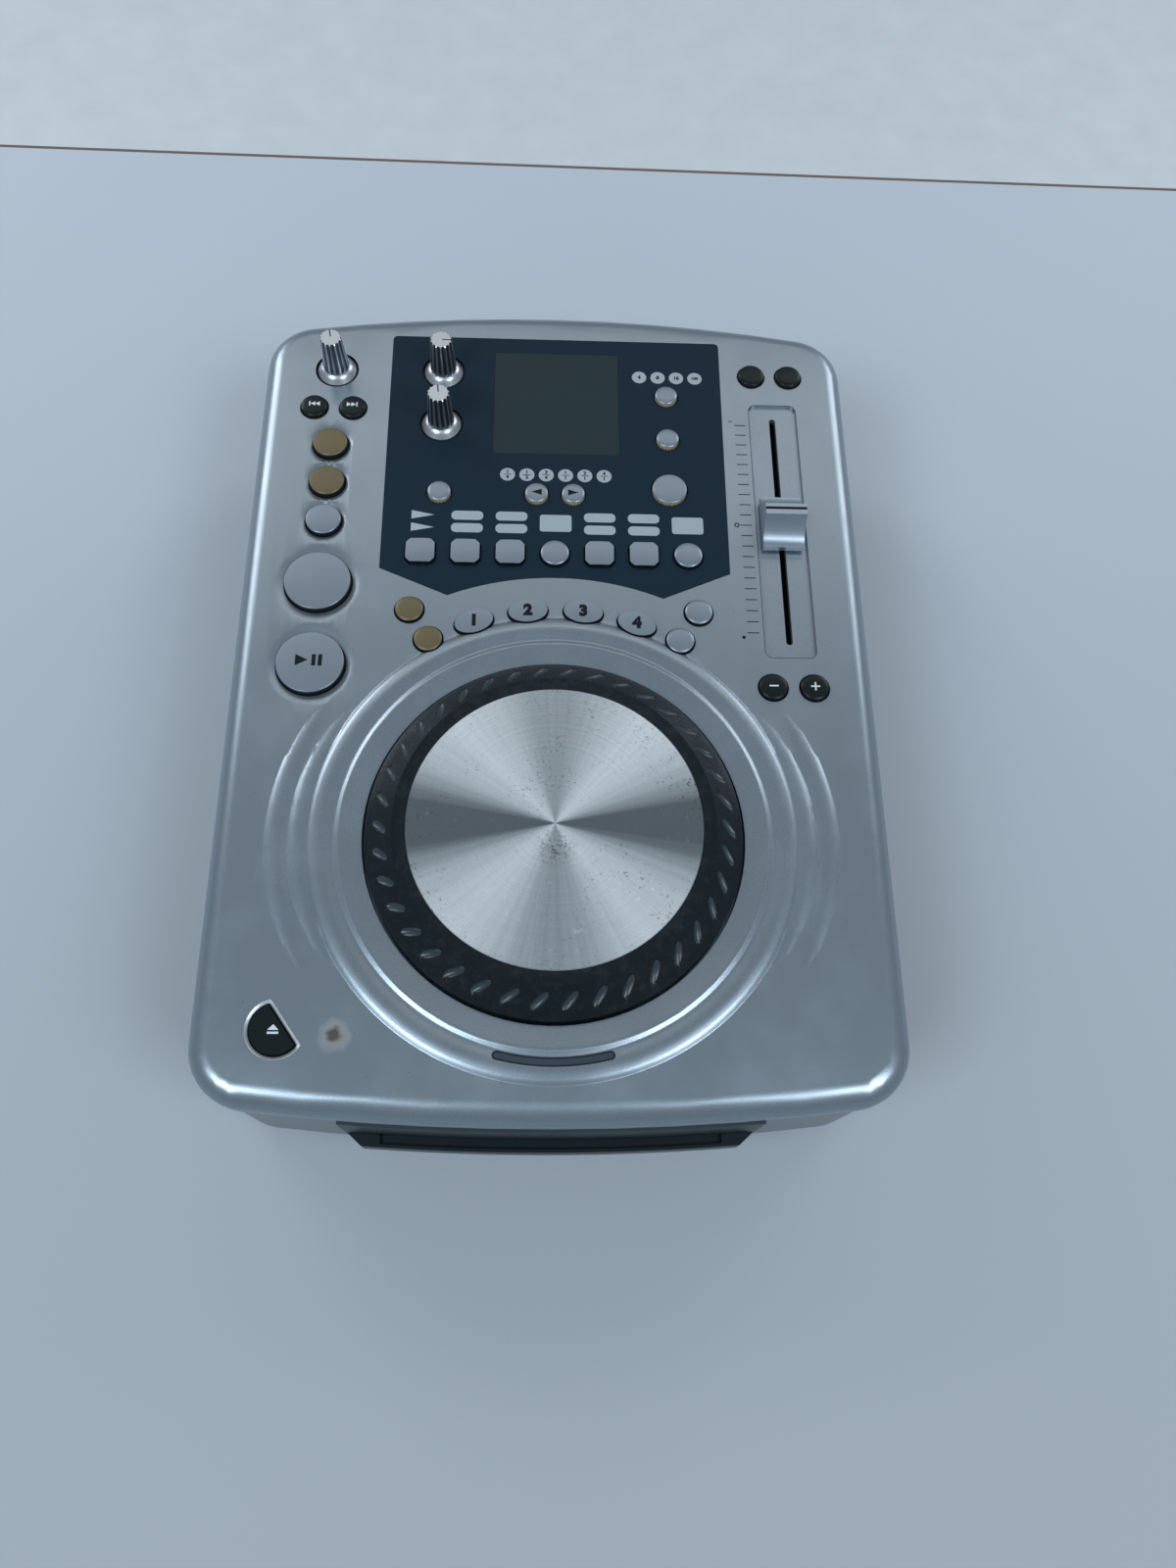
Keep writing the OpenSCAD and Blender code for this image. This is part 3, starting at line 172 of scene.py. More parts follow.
# the stain beside the drawer's key: its place in mm from the wheel's axis, then spans of distance in metres
stainForm = dict(
    at=(-73.8, -72.5), raggedScale=240, ragged=0.0042, lessMetal=0.5,
    ring=(0.0062, 0.0034), ringShare=0.6, ringColour=(0.17, 0.155, 0.12),
    core=(0.0032, 0.0016), coreShare=0.85, coreColour=(0.035, 0.03, 0.026),
)


def silverPaint():
    s, w = silverForm, stainForm
    colour = s["colour"]
    f = Finish("silverPaint", colour, s["roughness"], s["metallic"],
               Coat_Weight=s["coat"], Coat_Roughness=s["coatRoughness"])
    flake = f.noise(s["flakeScale"])
    cloud = f.noise(s["cloudScale"], detail=3).between(*s["cloudSpan"])
    smudge = f.specks(**s["smudge"])
    specks = f.specks(**s["speck"], place=f.moved(s["speckShift"]))
    ragged = (f.noise(w["raggedScale"], detail=3) - 0.5) * w["ragged"]
    spot = f.reach((jog.x + w["at"][0] * mm, jog.y + w["at"][1] * mm, top)) + ragged
    ring, core = spot.between(*w["ring"]), spot.between(*w["core"])
    tone = f.mix(flake.between(*s["flakeSpan"]), *[shade(colour, amount) for amount in s["flakeShades"]])
    tone = f.coats(tone,
                   (cloud, s["cloudShare"], shade(colour, s["cloudShade"])),
                   (specks, s["speckShare"], s["speckColour"]),
                   (ring, w["ringShare"], w["ringColour"]),
                   (core, w["coreShare"], w["coreColour"]))
    d = s["dulling"]
    f.paint("Base Color", tone)
    f.paint("Metallic", s["metallic"] - ring * w["lessMetal"])
    f.paint("Roughness", s["roughness"] + smudge * d["smudge"] + flake * d["flake"] + ring * d["stain"])
    f.bump(flake, s["flakeDepth"] * mm, s["flakeBump"])
    return f


# turned metal: fine rings about the wheel's axis tip the surface in and out, and painted reflections
# lie in its tone as rays, darkest to the sides and brightest on the diagonals; over it lie scratches,
# dirt in patches and near the rim, and a worn place before the centre
turnedForm = dict(
    dark=(0.14, 0.17, 0.19), bright=(0.86, 0.93, 0.97), roughness=0.34, metallic=0.8,
    fine=5200.0, fineTip=0.5, broad=900.0, broadTip=0.15, broadShare=0.12,
    paintedRays=dict(level=0.62, fourfold=0.32, wings=0.36, lean=0.06, streaks=0.34),
    wingSpan=(0.72, 0.99), streakScale=16, streakRoughness=0.6,
    mark=dict(scale=330, detail=5, roughness=0.7, low=0.62, high=0.68),
    markShare=0.14, markColour=(0.25, 0.27, 0.29), markDulling=0.16,
    patch=dict(scale=48, detail=2, roughness=0.5, low=0.46, high=0.62), patchShare=0.8,
    rimSpan=(0.044, 0.0525), rimShare=0.5,
    dirt=dict(scale=760, detail=4, roughness=0.65, low=0.59, high=0.645),
    dirtShare=0.8, dirtColour=(0.05, 0.055, 0.06), dirtDulling=0.2,
    wear=dict(scale=1100, detail=3, roughness=0.6, low=0.47, high=0.60),
    wearAt=-9, wearSpan=(0.0085, 0.001), wearShare=0.75, wearColour=(0.06, 0.055, 0.05),
)


def turnedMetal():
    t, k = turnedForm, turnedForm["paintedRays"]
    f = Finish("turnedMetal", t["bright"], t["roughness"], t["metallic"])
    out = f.reach(jog, flatOnly)

    def rings(scale):
        return f.add("TexNoise", {"noise_dimensions": "1D"}, {"W": out * scale, "Scale": 1.0, "Detail": 2.0})

    fine, broad = rings(t["fine"]), rings(t["broad"])
    spread = f.add("VectorMath", {"operation": "NORMALIZE"}, {0: f.moved(jog, flatOnly)})
    across = f.add("SeparateXYZ", {}, {0: spread}, "X")
    along = f.add("SeparateXYZ", {}, {0: spread}, "Y")
    double = across * across - along * along  # cosine of twice the angle
    fourfold = double * double * 2 - 1
    wings = double.between(*t["wingSpan"])
    streaks = f.noise(t["streakScale"], detail=3, roughness=t["streakRoughness"], place=spread) - 0.5
    # painted reflections: the rays' tone follows the angle about the wheel's axis, not the lamps
    paintedRays = k["level"] - fourfold * k["fourfold"] - wings * k["wings"] - double * k["lean"] + streaks * k["streaks"]

    marks = f.specks(**t["mark"])
    grime = f.specks(**t["patch"]) * t["patchShare"] + out.between(*t["rimSpan"]) * t["rimShare"]
    dirt = f.specks(**t["dirt"]) * grime
    worn = f.reach((jog.x, jog.y + t["wearAt"] * mm, 0), flatOnly).between(*t["wearSpan"])
    tone = f.coats(f.mix(paintedRays, t["dark"], t["bright"]),
                   (broad, t["broadShare"], t["dark"]),
                   (marks, t["markShare"], t["markColour"]),
                   (dirt, t["dirtShare"], t["dirtColour"]),
                   (f.specks(**t["wear"]) * worn, t["wearShare"], t["wearColour"]))
    f.paint("Base Color", tone)
    f.paint("Roughness", t["roughness"] + marks * t["markDulling"] + dirt * t["dirtDulling"])

    fromObject = {"vector_type": "VECTOR", "convert_from": "OBJECT", "convert_to": "WORLD"}
    spread = f.add("VectorTransform", fromObject, {"Vector": spread})
    tip = (fine - 0.5) * t["fineTip"] + (broad - 0.5) * t["broadTip"]
    tipped = f.add("VectorMath", {"operation": "SCALE"}, {0: spread, "Scale": tip})
    tipped = f.add("VectorMath", {"operation": "ADD"}, {0: f.add("NewGeometry", {}, {}, "Normal"), 1: tipped})
    f.paint("Normal", f.add("VectorMath", {"operation": "NORMALIZE"}, {0: tipped}))
    return f


# the wheel's dark ring: dusty, and paler where it is worn beside the disc
jogForm = dict(
    colour=(0.003, 0.0065, 0.0095), pale=(0.022, 0.034, 0.042), roughness=0.27, specular=0.3,
    dust=dict(scale=260, detail=5, roughness=0.65, low=0.48, high=0.74), dustShare=0.14, dustDulling=0.2,
    wornSpan=(0.0565, 0.0555), wornShare=0.035, grain=2600, depth=0.006, bump=0.5,
)


def jogPlastic():
    j = jogForm
    f = Finish("jogPlastic", j["colour"], j["roughness"], Specular_IOR_Level=j["specular"])
    dust = f.specks(**j["dust"])
    worn = f.reach(jog, flatOnly).between(*j["wornSpan"])
    f.paint("Base Color", f.mix(dust * j["dustShare"] + worn * j["wornShare"], j["colour"], j["pale"]))
    f.paint("Roughness", j["roughness"] + dust * j["dustDulling"])
    f.bump(f.noise(j["grain"]), j["depth"] * mm, j["bump"])
    return f


# the display's window: smoked, with a film of grease and fine dust
glassForm = dict(
    dark=(0.013, 0.025, 0.029), pale=(0.017, 0.030, 0.034), roughness=0.36, specular=0.15,
    film=dict(scale=34, detail=3, roughness=0.5, low=0.35, high=0.75), filmShare=0.5, filmDulling=0.1,
    dust=dict(scale=2400, detail=2, roughness=0.5, low=0.72, high=0.76), dustShare=0.2,
)


def smokedGlass():
    g = glassForm
    f = Finish("smokedGlass", g["dark"], g["roughness"], Specular_IOR_Level=g["specular"])
    film, dust = f.specks(**g["film"]), f.specks(**g["dust"])
    f.paint("Base Color", f.mix(film * g["filmShare"] + dust * g["dustShare"], g["dark"], g["pale"]))
    f.paint("Roughness", g["roughness"] + film * g["filmDulling"])
    return f


# a moulded, painted or plated surface: cloudy tone, fine grain and a little unevenness in its gloss
mouldedForm = dict(cloudScale=28, cloudShare=0.5, grainShare=0.5, shades=(0.88, 1.12), uneven=0.06, bump=0.6)


def moulded(name, colour, roughness, metallic=0.0, grain=900, depth=0.02, specular=0.5):
    m = mouldedForm
    f = Finish(name, colour, roughness, metallic, Specular_IOR_Level=specular)
    cloud = f.noise(m["cloudScale"], detail=3)
    speck = f.noise(grain)
    dark, pale = (shade(colour, amount) for amount in m["shades"])
    f.paint("Base Color", f.mix(cloud * m["cloudShare"] + speck * m["grainShare"], dark, pale))
    f.paint("Roughness", cloud * m["uneven"] * 2 + (roughness - m["uneven"]))
    f.bump(speck, depth * mm, m["bump"])
    return f


# the plain finishes; grain is the scale of the grain, and depth is how deep it is in mm
mouldedFinishes = dict(
    # painted reflection: the floors of the ring's dimples are painted paler
    dimplePaintedReflection=dict(colour=(0.022, 0.034, 0.044), roughness=0.34, grain=1800, depth=0.006),
    caseSilver=dict(colour=(0.215, 0.24, 0.26), roughness=0.42, metallic=0.45),
    navyPanel=dict(colour=(0.005, 0.0165, 0.029), roughness=0.42, grain=2600, depth=0.01, specular=0.12),
    silverKey=dict(colour=(0.215, 0.26, 0.31), roughness=0.34, metallic=0.6, grain=4200, depth=0.006),
    goldKey=dict(colour=(0.135, 0.112, 0.062), roughness=0.4, metallic=0.45, grain=4200, depth=0.006),
    darkKey=dict(colour=(0.002, 0.0065, 0.0075), roughness=0.32, grain=2400, depth=0.006, specular=0.25),
    knobMetal=dict(colour=(0.46, 0.50, 0.54), roughness=0.3, metallic=0.9, grain=1800, depth=0.01),
    # painted shade in the knobs' flutes
    knobFluteShade=dict(colour=(0.085, 0.10, 0.115), roughness=0.34, metallic=0.9, grain=1800, depth=0.01),
    capSilver=dict(colour=(0.34, 0.405, 0.47), roughness=0.36, metallic=0.85, grain=1800, depth=0.006),
    # painted highlight on the half-moon key's bevel
    paintedHighlightEdge=dict(colour=(0.42, 0.46, 0.49), roughness=0.34, metallic=0.7, grain=1800, depth=0.001),
    # painted warm light on the sides of the panel keys
    paintedWarmLight=dict(colour=(0.44, 0.36, 0.22), roughness=0.5, specular=0.2),
    lensBlue=dict(colour=(0.030, 0.046, 0.062), roughness=0.26, grain=1500, depth=0.004, specular=0.35),
    lensPale=dict(colour=(0.27, 0.32, 0.36), roughness=0.42, grain=1500, depth=0.004),
    palePrint=dict(colour=(0.28, 0.33, 0.37), roughness=0.5, grain=3000, depth=0.004),
    whitePrint=dict(colour=(0.50, 0.57, 0.60), roughness=0.5, grain=3000, depth=0.004),
    darkPrint=dict(colour=(0.006, 0.007, 0.009), roughness=0.55, grain=3000, depth=0.004, specular=0.12),
    recessShade=dict(colour=(0.045, 0.055, 0.062), roughness=0.5, grain=3000, depth=0.004),
    # painted highlight on the drawer's upper edge
    drawerEdgeHighlight=dict(colour=(0.026, 0.042, 0.05), roughness=0.4, grain=1500, depth=0.01, specular=0.3),
    drawerPlastic=dict(colour=(0.003, 0.0095, 0.0135), roughness=0.36, grain=1500, depth=0.01, specular=0.25),
    # dark plastic, and also the painted shade laid on gaps, recesses, key flanges and key sides
    darkPlasticAndPaintedShade=dict(colour=(0.009, 0.0105, 0.012), roughness=0.5, specular=0.25),
    footRubber=dict(colour=(0.02, 0.02, 0.021), roughness=0.75, grain=1400, depth=0.04),
    steel=dict(colour=(0.50, 0.50, 0.51), roughness=0.3, metallic=1.0, grain=1500),
    bronze=dict(colour=(0.50, 0.34, 0.16), roughness=0.35, metallic=1.0, grain=1500),
    boardGreen=dict(colour=(0.015, 0.10, 0.045), roughness=0.4, grain=700),
    loaderMetal=dict(colour=(0.55, 0.56, 0.57), roughness=0.38, metallic=0.9, grain=1200),
    gearPlastic=dict(colour=(0.74, 0.72, 0.64), roughness=0.45),
)
finishes = {}


def makeFinishes():
    finishes.update(silverPaint=silverPaint(), turnedMetal=turnedMetal(),
                    jogPlastic=jogPlastic(), smokedGlass=smokedGlass())
    for name, values in mouldedFinishes.items():
        finishes[name] = moulded(name, **values)
    print("finishes made:", len(finishes))


# what each node is finished with, by the slot that it has in the record
slotFinish = {
    "silver_paint": "silverPaint",
    "pale_case": "caseSilver",
    "navy_panel": "navyPanel",
    "display": "smokedGlass",
    "lamp_print": "lensPale",
    "silver_key": "silverKey",
    "gold_key": "goldKey",
    "dark_key": "darkKey",
    "knob_metal": "knobMetal",
    "jog_rubber": "jogPlastic",
    "jog_metal": "turnedMetal",
    "steel": "steel",
    "bronze": "bronze",
    "foot_rubber": "footRubber",
    "board": "boardGreen",
    "dark_plastic": "darkPlasticAndPaintedShade",
    "tray_front": "drawerPlastic",
    "loader_metal": "loaderMetal",
    "gear_plastic": "gearPlastic",
}
nodeSlot = {p["node"]: p["material_slot"] for p in frame["record"]["subparts"]}
nodeBody = {n: body for body, group in frame["record"]["behaviour"]["bodies"].items() for n in group}


def finishNodes():
    for name, obj in nodes.items():
        obj.data.materials.clear()
        obj.data.materials.append(finishes[slotFinish[nodeSlot[name]]].material)
    print("nodes finished")


# a finished mesh becomes a piece that rides on a body and stands for nodes, if it replaces any;
# edges sharper than smooth, in degrees, stay crisp
def piece(name, bm, finish, body, stands=(), smooth=35, extra=()):
    mesh = bpy.data.meshes.new(name)
    for edge in bm.edges:
        edge.smooth = edge.calc_face_angle(0) < math.radians(smooth)
    for face in bm.faces:
        face.smooth = True
    bm.to_mesh(mesh)
    bm.free()
    obj = bpy.data.objects.new(name, mesh)
    bpy.context.scene.collection.objects.link(obj)
    for key in (finish, *extra):
        mesh.materials.append(finishes[key].material)
    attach(obj, body)
    if stands:
        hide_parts(*stands)
    return obj


skinForm = dict(doubles=2e-6, weight=80)


# a copy of a node with its doubles merged, its curves smooth and its edges crisp;
# pick says which of the extra finishes a face has, or 0 for the node's own
def dressed(node, smooth=32, extra=(), pick=None, finish=None):
    bm = bmesh.new()
    bm.from_mesh(nodes[node].data)
    bmesh.ops.remove_doubles(bm, verts=bm.verts[:], dist=skinForm["doubles"])
    if pick:
        for face in bm.faces:
            face.material_index = pick(face.calc_center_median(), face.normal)
    finish = finish or slotFinish[nodeSlot[node]]
    obj = piece(node + "_skin", bm, finish, nodeBody[node], [node], smooth, extra)
    weighted = obj.modifiers.new("evenNormals", "WEIGHTED_NORMAL")
    weighted.keep_sharp = True
    weighted.weight = skinForm["weight"]
    return obj


def within(p, centre, radius):
    return math.hypot(p.x - centre.x, p.y - centre.y) < radius * mm


# a point's distance from an upright axis and its height over the cover's top, in mm
def fromAxis(p, axis):
    return math.hypot(p.x - axis.x, p.y - axis.y) / mm, (p.z - top) / mm


# the cover: the floors of the knobs' recesses and the walls of the keys' openings get painted shade,
# but not the walls at the fader, about the wheel and at the side edges
coverForm = dict(recess=9.8, recessDepth=0.3, openingTop=0.12, openingLow=2.4, upright=0.25,
                 faderHalf=(13, 64), wheel=78, sideEdge=12)
knobNodes = ("search_knob", "upper_knob", "lower_knob")


def dressCover():
    c = coverForm
    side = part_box("top_cover")[1].x - c["sideEdge"] * mm
    fader = middle("fader_body")
    halfWidth, halfLength = (v * mm for v in c["faderHalf"])
    knobs = [middle(node) for node in knobNodes]

    def pick(p, normal):
        if p.z < top - c["recessDepth"] * mm and any(within(p, knob, c["recess"]) for knob in knobs):
            return 1
        inFader = abs(p.x - fader.x) < halfWidth and abs(p.y - fader.y) < halfLength
        if inFader or within(p, jog, c["wheel"]) or abs(p.x) > side:
            return 0
        isUpright = abs(normal.z) < c["upright"]
        return 1 if isUpright and top - c["openingLow"] * mm < p.z < top - c["openingTop"] * mm else 0

    for node in ("top_cover", "control_panel"):
        dressed(node, smooth=34, extra=("darkPlasticAndPaintedShade",), pick=pick)
    print("cover dressed")


# the keys get painted shade at the flange, so far below the cover's top, and on their upright sides;
# on the panel all sides but those that face the back get painted warm light instead
panelKeys = ("bank_select_key", "beat_left_key", "beat_right_key", "pitch_range_key", "bpm_key", "tap_key")
keyForm = dict(flange=0.5, upright=0.35, warmLightUpTo=0.25)


def dressKeys():
    k = keyForm
    for node in [n for n in nodes if n.endswith("_key")]:
        getsPaintedLight = node in panelKeys

        def pick(p, normal):
            if p.z < top - k["flange"] * mm:
                return 1
            isSide = abs(normal.z) < k["upright"]
            return (2 if getsPaintedLight and normal.y < k["warmLightUpTo"] else 1) if isSide else 0

        dressed(node, smooth=38, extra=("darkPlasticAndPaintedShade", "paintedWarmLight"), pick=pick)
    print("keys dressed")


# flat shapes for prints, signs and a painted shade line, each a thin closed solid from one height to another
def flat(bm, corners, z):
    return bm.faces.new([bm.verts.new((x, y, z)) for x, y in corners])


def raiseUp(bm, faces, rise):
    raised = bmesh.ops.extrude_face_region(bm, geom=faces)["geom"]
    verts = [v for v in raised if isinstance(v, bmesh.types.BMVert)]
    bmesh.ops.translate(bm, vec=(0, 0, rise), verts=verts)


def plate(bm, corners, low, high):
    raiseUp(bm, [flat(bm, corners, low)], high - low)


def bar(bm, x, y, width, length, low, high):
    w, h = width / 2, length / 2
    plate(bm, [(x - w, y - h), (x + w, y - h), (x + w, y + h), (x - w, y + h)], low, high)


def disc(bm, x, y, radius, low, high):
    bmesh.ops.create_cone(bm, cap_ends=True, segments=32, radius1=radius, radius2=radius, depth=high - low,
                          matrix=Matrix.Translation((x, y, (low + high) / 2)))


def wedge(bm, x, y, width, height, low, high):
    w, h = width / 2, height / 2
    plate(bm, [(x - w, y - h), (x + w, y), (x - w, y + h)], low, high)


def roundedCorners(x, y, width, length, radius, steps=6):
    corners = []
    for quarter, (sx, sy) in enumerate(((1, 1), (-1, 1), (-1, -1), (1, -1))):
        for i in range(steps + 1):
            t = math.radians(90 * quarter + 90 * i / steps)
            corners.append((x + sx * (width / 2 - radius) + radius * math.cos(t),
                            y + sy * (length / 2 - radius) + radius * math.sin(t)))
    return corners


# a closed line of edges through points
def loop(bm, points):
    verts = [bm.verts.new(p) for p in points]
    return [bm.edges.new(pair) for pair in zip(verts, verts[1:] + verts[:1])]


# the band between two closed lines, raised into a solid
def band(bm, edges, rise):
    raiseUp(bm, bmesh.ops.bridge_loops(bm, edges=edges)["faces"], rise)


def hoop(bm, x, y, outer, inner, low, high):
    for radius in (outer, inner):
        bmesh.ops.create_circle(bm, segments=32, radius=radius, matrix=Matrix.Translation((x, y, low)))
    band(bm, [e for e in bm.edges if e.is_wire], high - low)


# plain numbers from the built-in font, made a mesh before their place is applied
def number(bm, text, x, y, size, low, high, bold):
    curve = bpy.data.curves.new("number", "FONT")
    curve.body = text
    curve.size = size
    curve.offset = bold * size
    curve.extrude = (high - low) / 2
    curve.resolution_u = 3
    curve.align_x = "CENTER"
    curve.align_y = "CENTER"
    holder = bpy.data.objects.new("number", curve)
    mesh = bpy.data.meshes.new_from_object(holder)
    mesh.transform(Matrix.Translation((x, y, (low + high) / 2)))
    bm.from_mesh(mesh)
    bpy.data.objects.remove(holder)
    bpy.data.curves.remove(curve)
    bpy.data.meshes.remove(mesh)


def printed(name, bm, finish, body="root"):
    bmesh.ops.remove_doubles(bm, verts=bm.verts[:], dist=1e-7)
    bmesh.ops.recalc_face_normals(bm, faces=bm.faces[:])
    piece(name, bm, finish, body)


# signs on the keys, in mm from the middle of the key
signForm = dict(
    proud=0.03, sunk=0.25, stroke=0.6, minus=3.5, plusArm=1.75, arrow=(4.2, 2.9), number=6.4, numberBold=0.07,
    skip=dict(up=0.6, arrows=(-1.5, 0.4), arrowWide=1.9, tall=2.2, bar=1.75, barWide=0.55),
    play=dict(up=0.5, arrow=-3.1, arrowWide=4.7, tall=4.8, bars=(1.5, 3.9), barWide=1.5),
    eject=dict(shift=(0.2, -0.3), half=1.9, bar=-0.95, barTall=0.75),
)


def sign(node, draw, finish):
    low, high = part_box(node)
    centre = (low + high) / 2
    bm = bmesh.new()
    draw(bm, centre.x, centre.y, high.z - signForm["sunk"] * mm, high.z + signForm["proud"] * mm)
    printed(node + "_sign", bm, finish, nodeBody[node])


def skipSign(way):
    s = signForm["skip"]

    def draw(bm, x, y, low, high):
        y += s["up"] * mm
        for shift in s["arrows"]:
            wedge(bm, x + way * shift * mm, y, way * s["arrowWide"] * mm, s["tall"] * mm, low, high)
        bar(bm, x + way * s["bar"] * mm, y, s["barWide"] * mm, s["tall"] * mm, low, high)
    return draw


def playSign(bm, x, y, low, high):
    s = signForm["play"]
    y += s["up"] * mm
    wedge(bm, x + s["arrow"] * mm, y, s["arrowWide"] * mm, s["tall"] * mm, low, high)
    for shift in s["bars"]:
        bar(bm, x + shift * mm, y, s["barWide"] * mm, s["tall"] * mm, low, high)


def arrowSign(way):
    wide, tall = (v * mm for v in signForm["arrow"])
    return lambda bm, x, y, low, high: wedge(bm, x, y, way * wide, tall, low, high)


def minusSign(bm, x, y, low, high):
    bar(bm, x, y, signForm["minus"] * mm, signForm["stroke"] * mm, low, high)


def plusSign(bm, x, y, low, high):
    arm, half = signForm["plusArm"] * mm, signForm["stroke"] / 2 * mm
    corners, quarter = [], [(half, arm), (-half, arm), (-half, half)]
    for _ in range(4):
        corners += quarter
        quarter = [(-b, a) for a, b in quarter]
    plate(bm, [(x + a, y + b) for a, b in corners], low, high)


def ejectSign(bm, x, y, low, high):
    s = signForm["eject"]
    x, y, half = x + s["shift"][0] * mm, y + s["shift"][1] * mm, s["half"] * mm
    plate(bm, [(x - half, y), (x + half, y), (x, y + half)], low, high)
    bar(bm, x, y + s["bar"] * mm, 2 * half, s["barTall"] * mm, low, high)


def numberSign(text):
    size, bold = signForm["number"] * mm, signForm["numberBold"]
    return lambda bm, x, y, low, high: number(bm, text, x, y, size, low, high, bold)


def addSigns():
    sign("skip_back_key", skipSign(-1), "whitePrint")
    sign("skip_forward_key", skipSign(1), "whitePrint")
    sign("play_key", playSign, "darkPrint")
    sign("beat_left_key", arrowSign(-1), "darkPrint")
    sign("beat_right_key", arrowSign(1), "darkPrint")
    sign("bend_down_key", minusSign, "whitePrint")
    sign("bend_up_key", plusSign, "whitePrint")
    sign("eject_key", ejectSign, "whitePrint")
    for i in range(1, 5):
        sign(f"bank_{i}_key", numberSign(str(i)), "darkPrint")
    print("signs on the keys")


# prints on the cover and the panel, and a painted shade line, all in mm, with x and y from the wheel's axis
layerForm = dict(sunk=0.05, proud=0.02)
onTop = (top - layerForm["sunk"] * mm, top + layerForm["proud"] * mm)
scaleMarks = dict(x=77.5, length=4.6, thick=0.42, first=84.4, pitch=5.0, count=21,
                  signX=73.6, beyond=2, zero=(1.1, 0.6), dot=0.7, dash=(1.7, 0.4))


# the ticks beside the fader: a hoop at the middle, a dot at the near end and a dash at the far one
def addScale():
    m = scaleMarks
    bm = bmesh.new()
    for i in range(m["count"]):
        y = jog.y + (m["first"] + m["pitch"] * i) * mm
        bar(bm, jog.x + m["x"] * mm, y, m["length"] * mm, m["thick"] * mm, *onTop)
    x, last = jog.x + m["signX"] * mm, m["first"] + m["pitch"] * (m["count"] - 1)
    outer, inner = (v * mm for v in m["zero"])
    wide, tall = (v * mm for v in m["dash"])
    hoop(bm, x, jog.y + (m["first"] + last) / 2 * mm, outer, inner, *onTop)
    disc(bm, x, jog.y + (m["first"] - m["beyond"]) * mm, m["dot"] * mm, *onTop)
    bar(bm, x, jog.y + (last + m["beyond"]) * mm, wide, tall, *onTop)
    printed("fader_scale", bm, "darkPrint")


pills = dict(first=-35.8, pitch=17.84, count=6, width=12.8, line=0.4, fieldRise=0.015,
             rows=(136.5, 130.6), height=4.3, radius=1.9, tallAt=(2, 5), tallY=133.5, tall=8.0, tallRadius=1.1,
             wedgeX=-53.6, wedge=(9.2, 4.0))


# each pill is a pale outline with a greyer field on it; two of them are as tall as both rows
def addPills():
    p = pills
    low, high = onTop
    outlines, fields = bmesh.new(), bmesh.new()
    for k in range(p["count"]):
        x = jog.x + (p["first"] + p["pitch"] * k) * mm
        shapes = [(y, p["height"], p["radius"]) for y in p["rows"]]
        if k in p["tallAt"]:
            shapes = [(p["tallY"], p["tall"], p["tallRadius"])]
        for y, height, radius in shapes:
            for bm, less, rise in ((outlines, 0, 0), (fields, p["line"], p["fieldRise"] * mm)):
                width, length = (p["width"] - 2 * less) * mm, (height - 2 * less) * mm
                corners = roundedCorners(x, jog.y + y * mm, width, length, (radius - less) * mm)
                plate(bm, corners, low + rise, high + rise)
    printed("pill_fields", fields, "lensPale")
    wide, tall = (v * mm for v in p["wedge"])
    for y in p["rows"]:
        wedge(outlines, jog.x + p["wedgeX"] * mm, jog.y + y * mm, wide, tall, *onTop)
    printed("panel_prints", outlines, "palePrint")


# plain numbers at the round lenses: ranges in one row, and beats over and under a line in the other
lampNumbers = dict(step=7.95, bold=0.05,
                   ranges=("4", "8", "16", "100"), rangeX=35.4, rangeY=208.7, rangeSize=2.5, longSize=2.0,
                   beats=("14", "12", "34", "11", "21", "41"), beatX=-20.0, beatY=157.0, beatSize=2.2,
                   apart=1.3, line=(3.4, 0.28))


def addNumbers():
    n = lampNumbers
    bm = bmesh.new()
    for k, text in enumerate(n["ranges"]):
        x, size = jog.x + (n["rangeX"] + n["step"] * k) * mm, n["longSize" if len(text) > 2 else "rangeSize"]
        number(bm, text, x, jog.y + n["rangeY"] * mm, size * mm, *onTop, n["bold"])
    wide, thick = (v * mm for v in n["line"])
    for k, beat in enumerate(n["beats"]):
        x, y = jog.x + (n["beatX"] + n["step"] * k) * mm, jog.y + n["beatY"] * mm
        for text, side in zip(beat, (1, -1)):
            number(bm, text, x, y + side * n["apart"] * mm, n["beatSize"] * mm, *onTop, n["bold"])
        bar(bm, x, y, wide, thick, *onTop)
    printed("lamp_numbers", bm, "darkPrint")


# the line of painted shade about the fader's recess
recessLine = dict(width=20, length=121.5, radius=3, line=0.3)


def addRecessLine():
    g = recessLine
    fader = middle("fader_body")
    low, high = onTop
    bm = bmesh.new()
    edges = []
    for grow in (0, g["line"]):
        width, length = (g["width"] + 2 * grow) * mm, (g["length"] + 2 * grow) * mm
        corners = roundedCorners(fader.x, fader.y, width, length, (g["radius"] + grow) * mm)
        edges += loop(bm, [(*corner, low) for corner in corners])
    band(bm, edges, high - low)
    printed("recess_line", bm, "recessShade")


# the ring's dimples have a painted reflection, their floors paler: what lies deeper than this under
# the slope, which runs from the first to the second (radius, height)
ringForm = dict(slope=((57.7, 10.9), (67.6, 2.6)), below=1, depth=0.12)


def dressRing():
    (r0, z0), (r1, z1) = ringForm["slope"]

    def pick(p, normal):
        r, z = fromAxis(p, jog)
        inSlope = r0 < r < r1 and z > z1 - ringForm["below"]
        return 1 if inSlope and z < z0 + (r - r0) * (z1 - z0) / (r1 - r0) - ringForm["depth"] else 0

    dressed("jog_ring", extra=("dimplePaintedReflection",), pick=pick)
    print("ring dressed")


# the round lenses stay pale; the curved lens before the wheel is smoked, with painted shade in the gap about it
lensForm = dict(gap=0.6, upward=0.9)


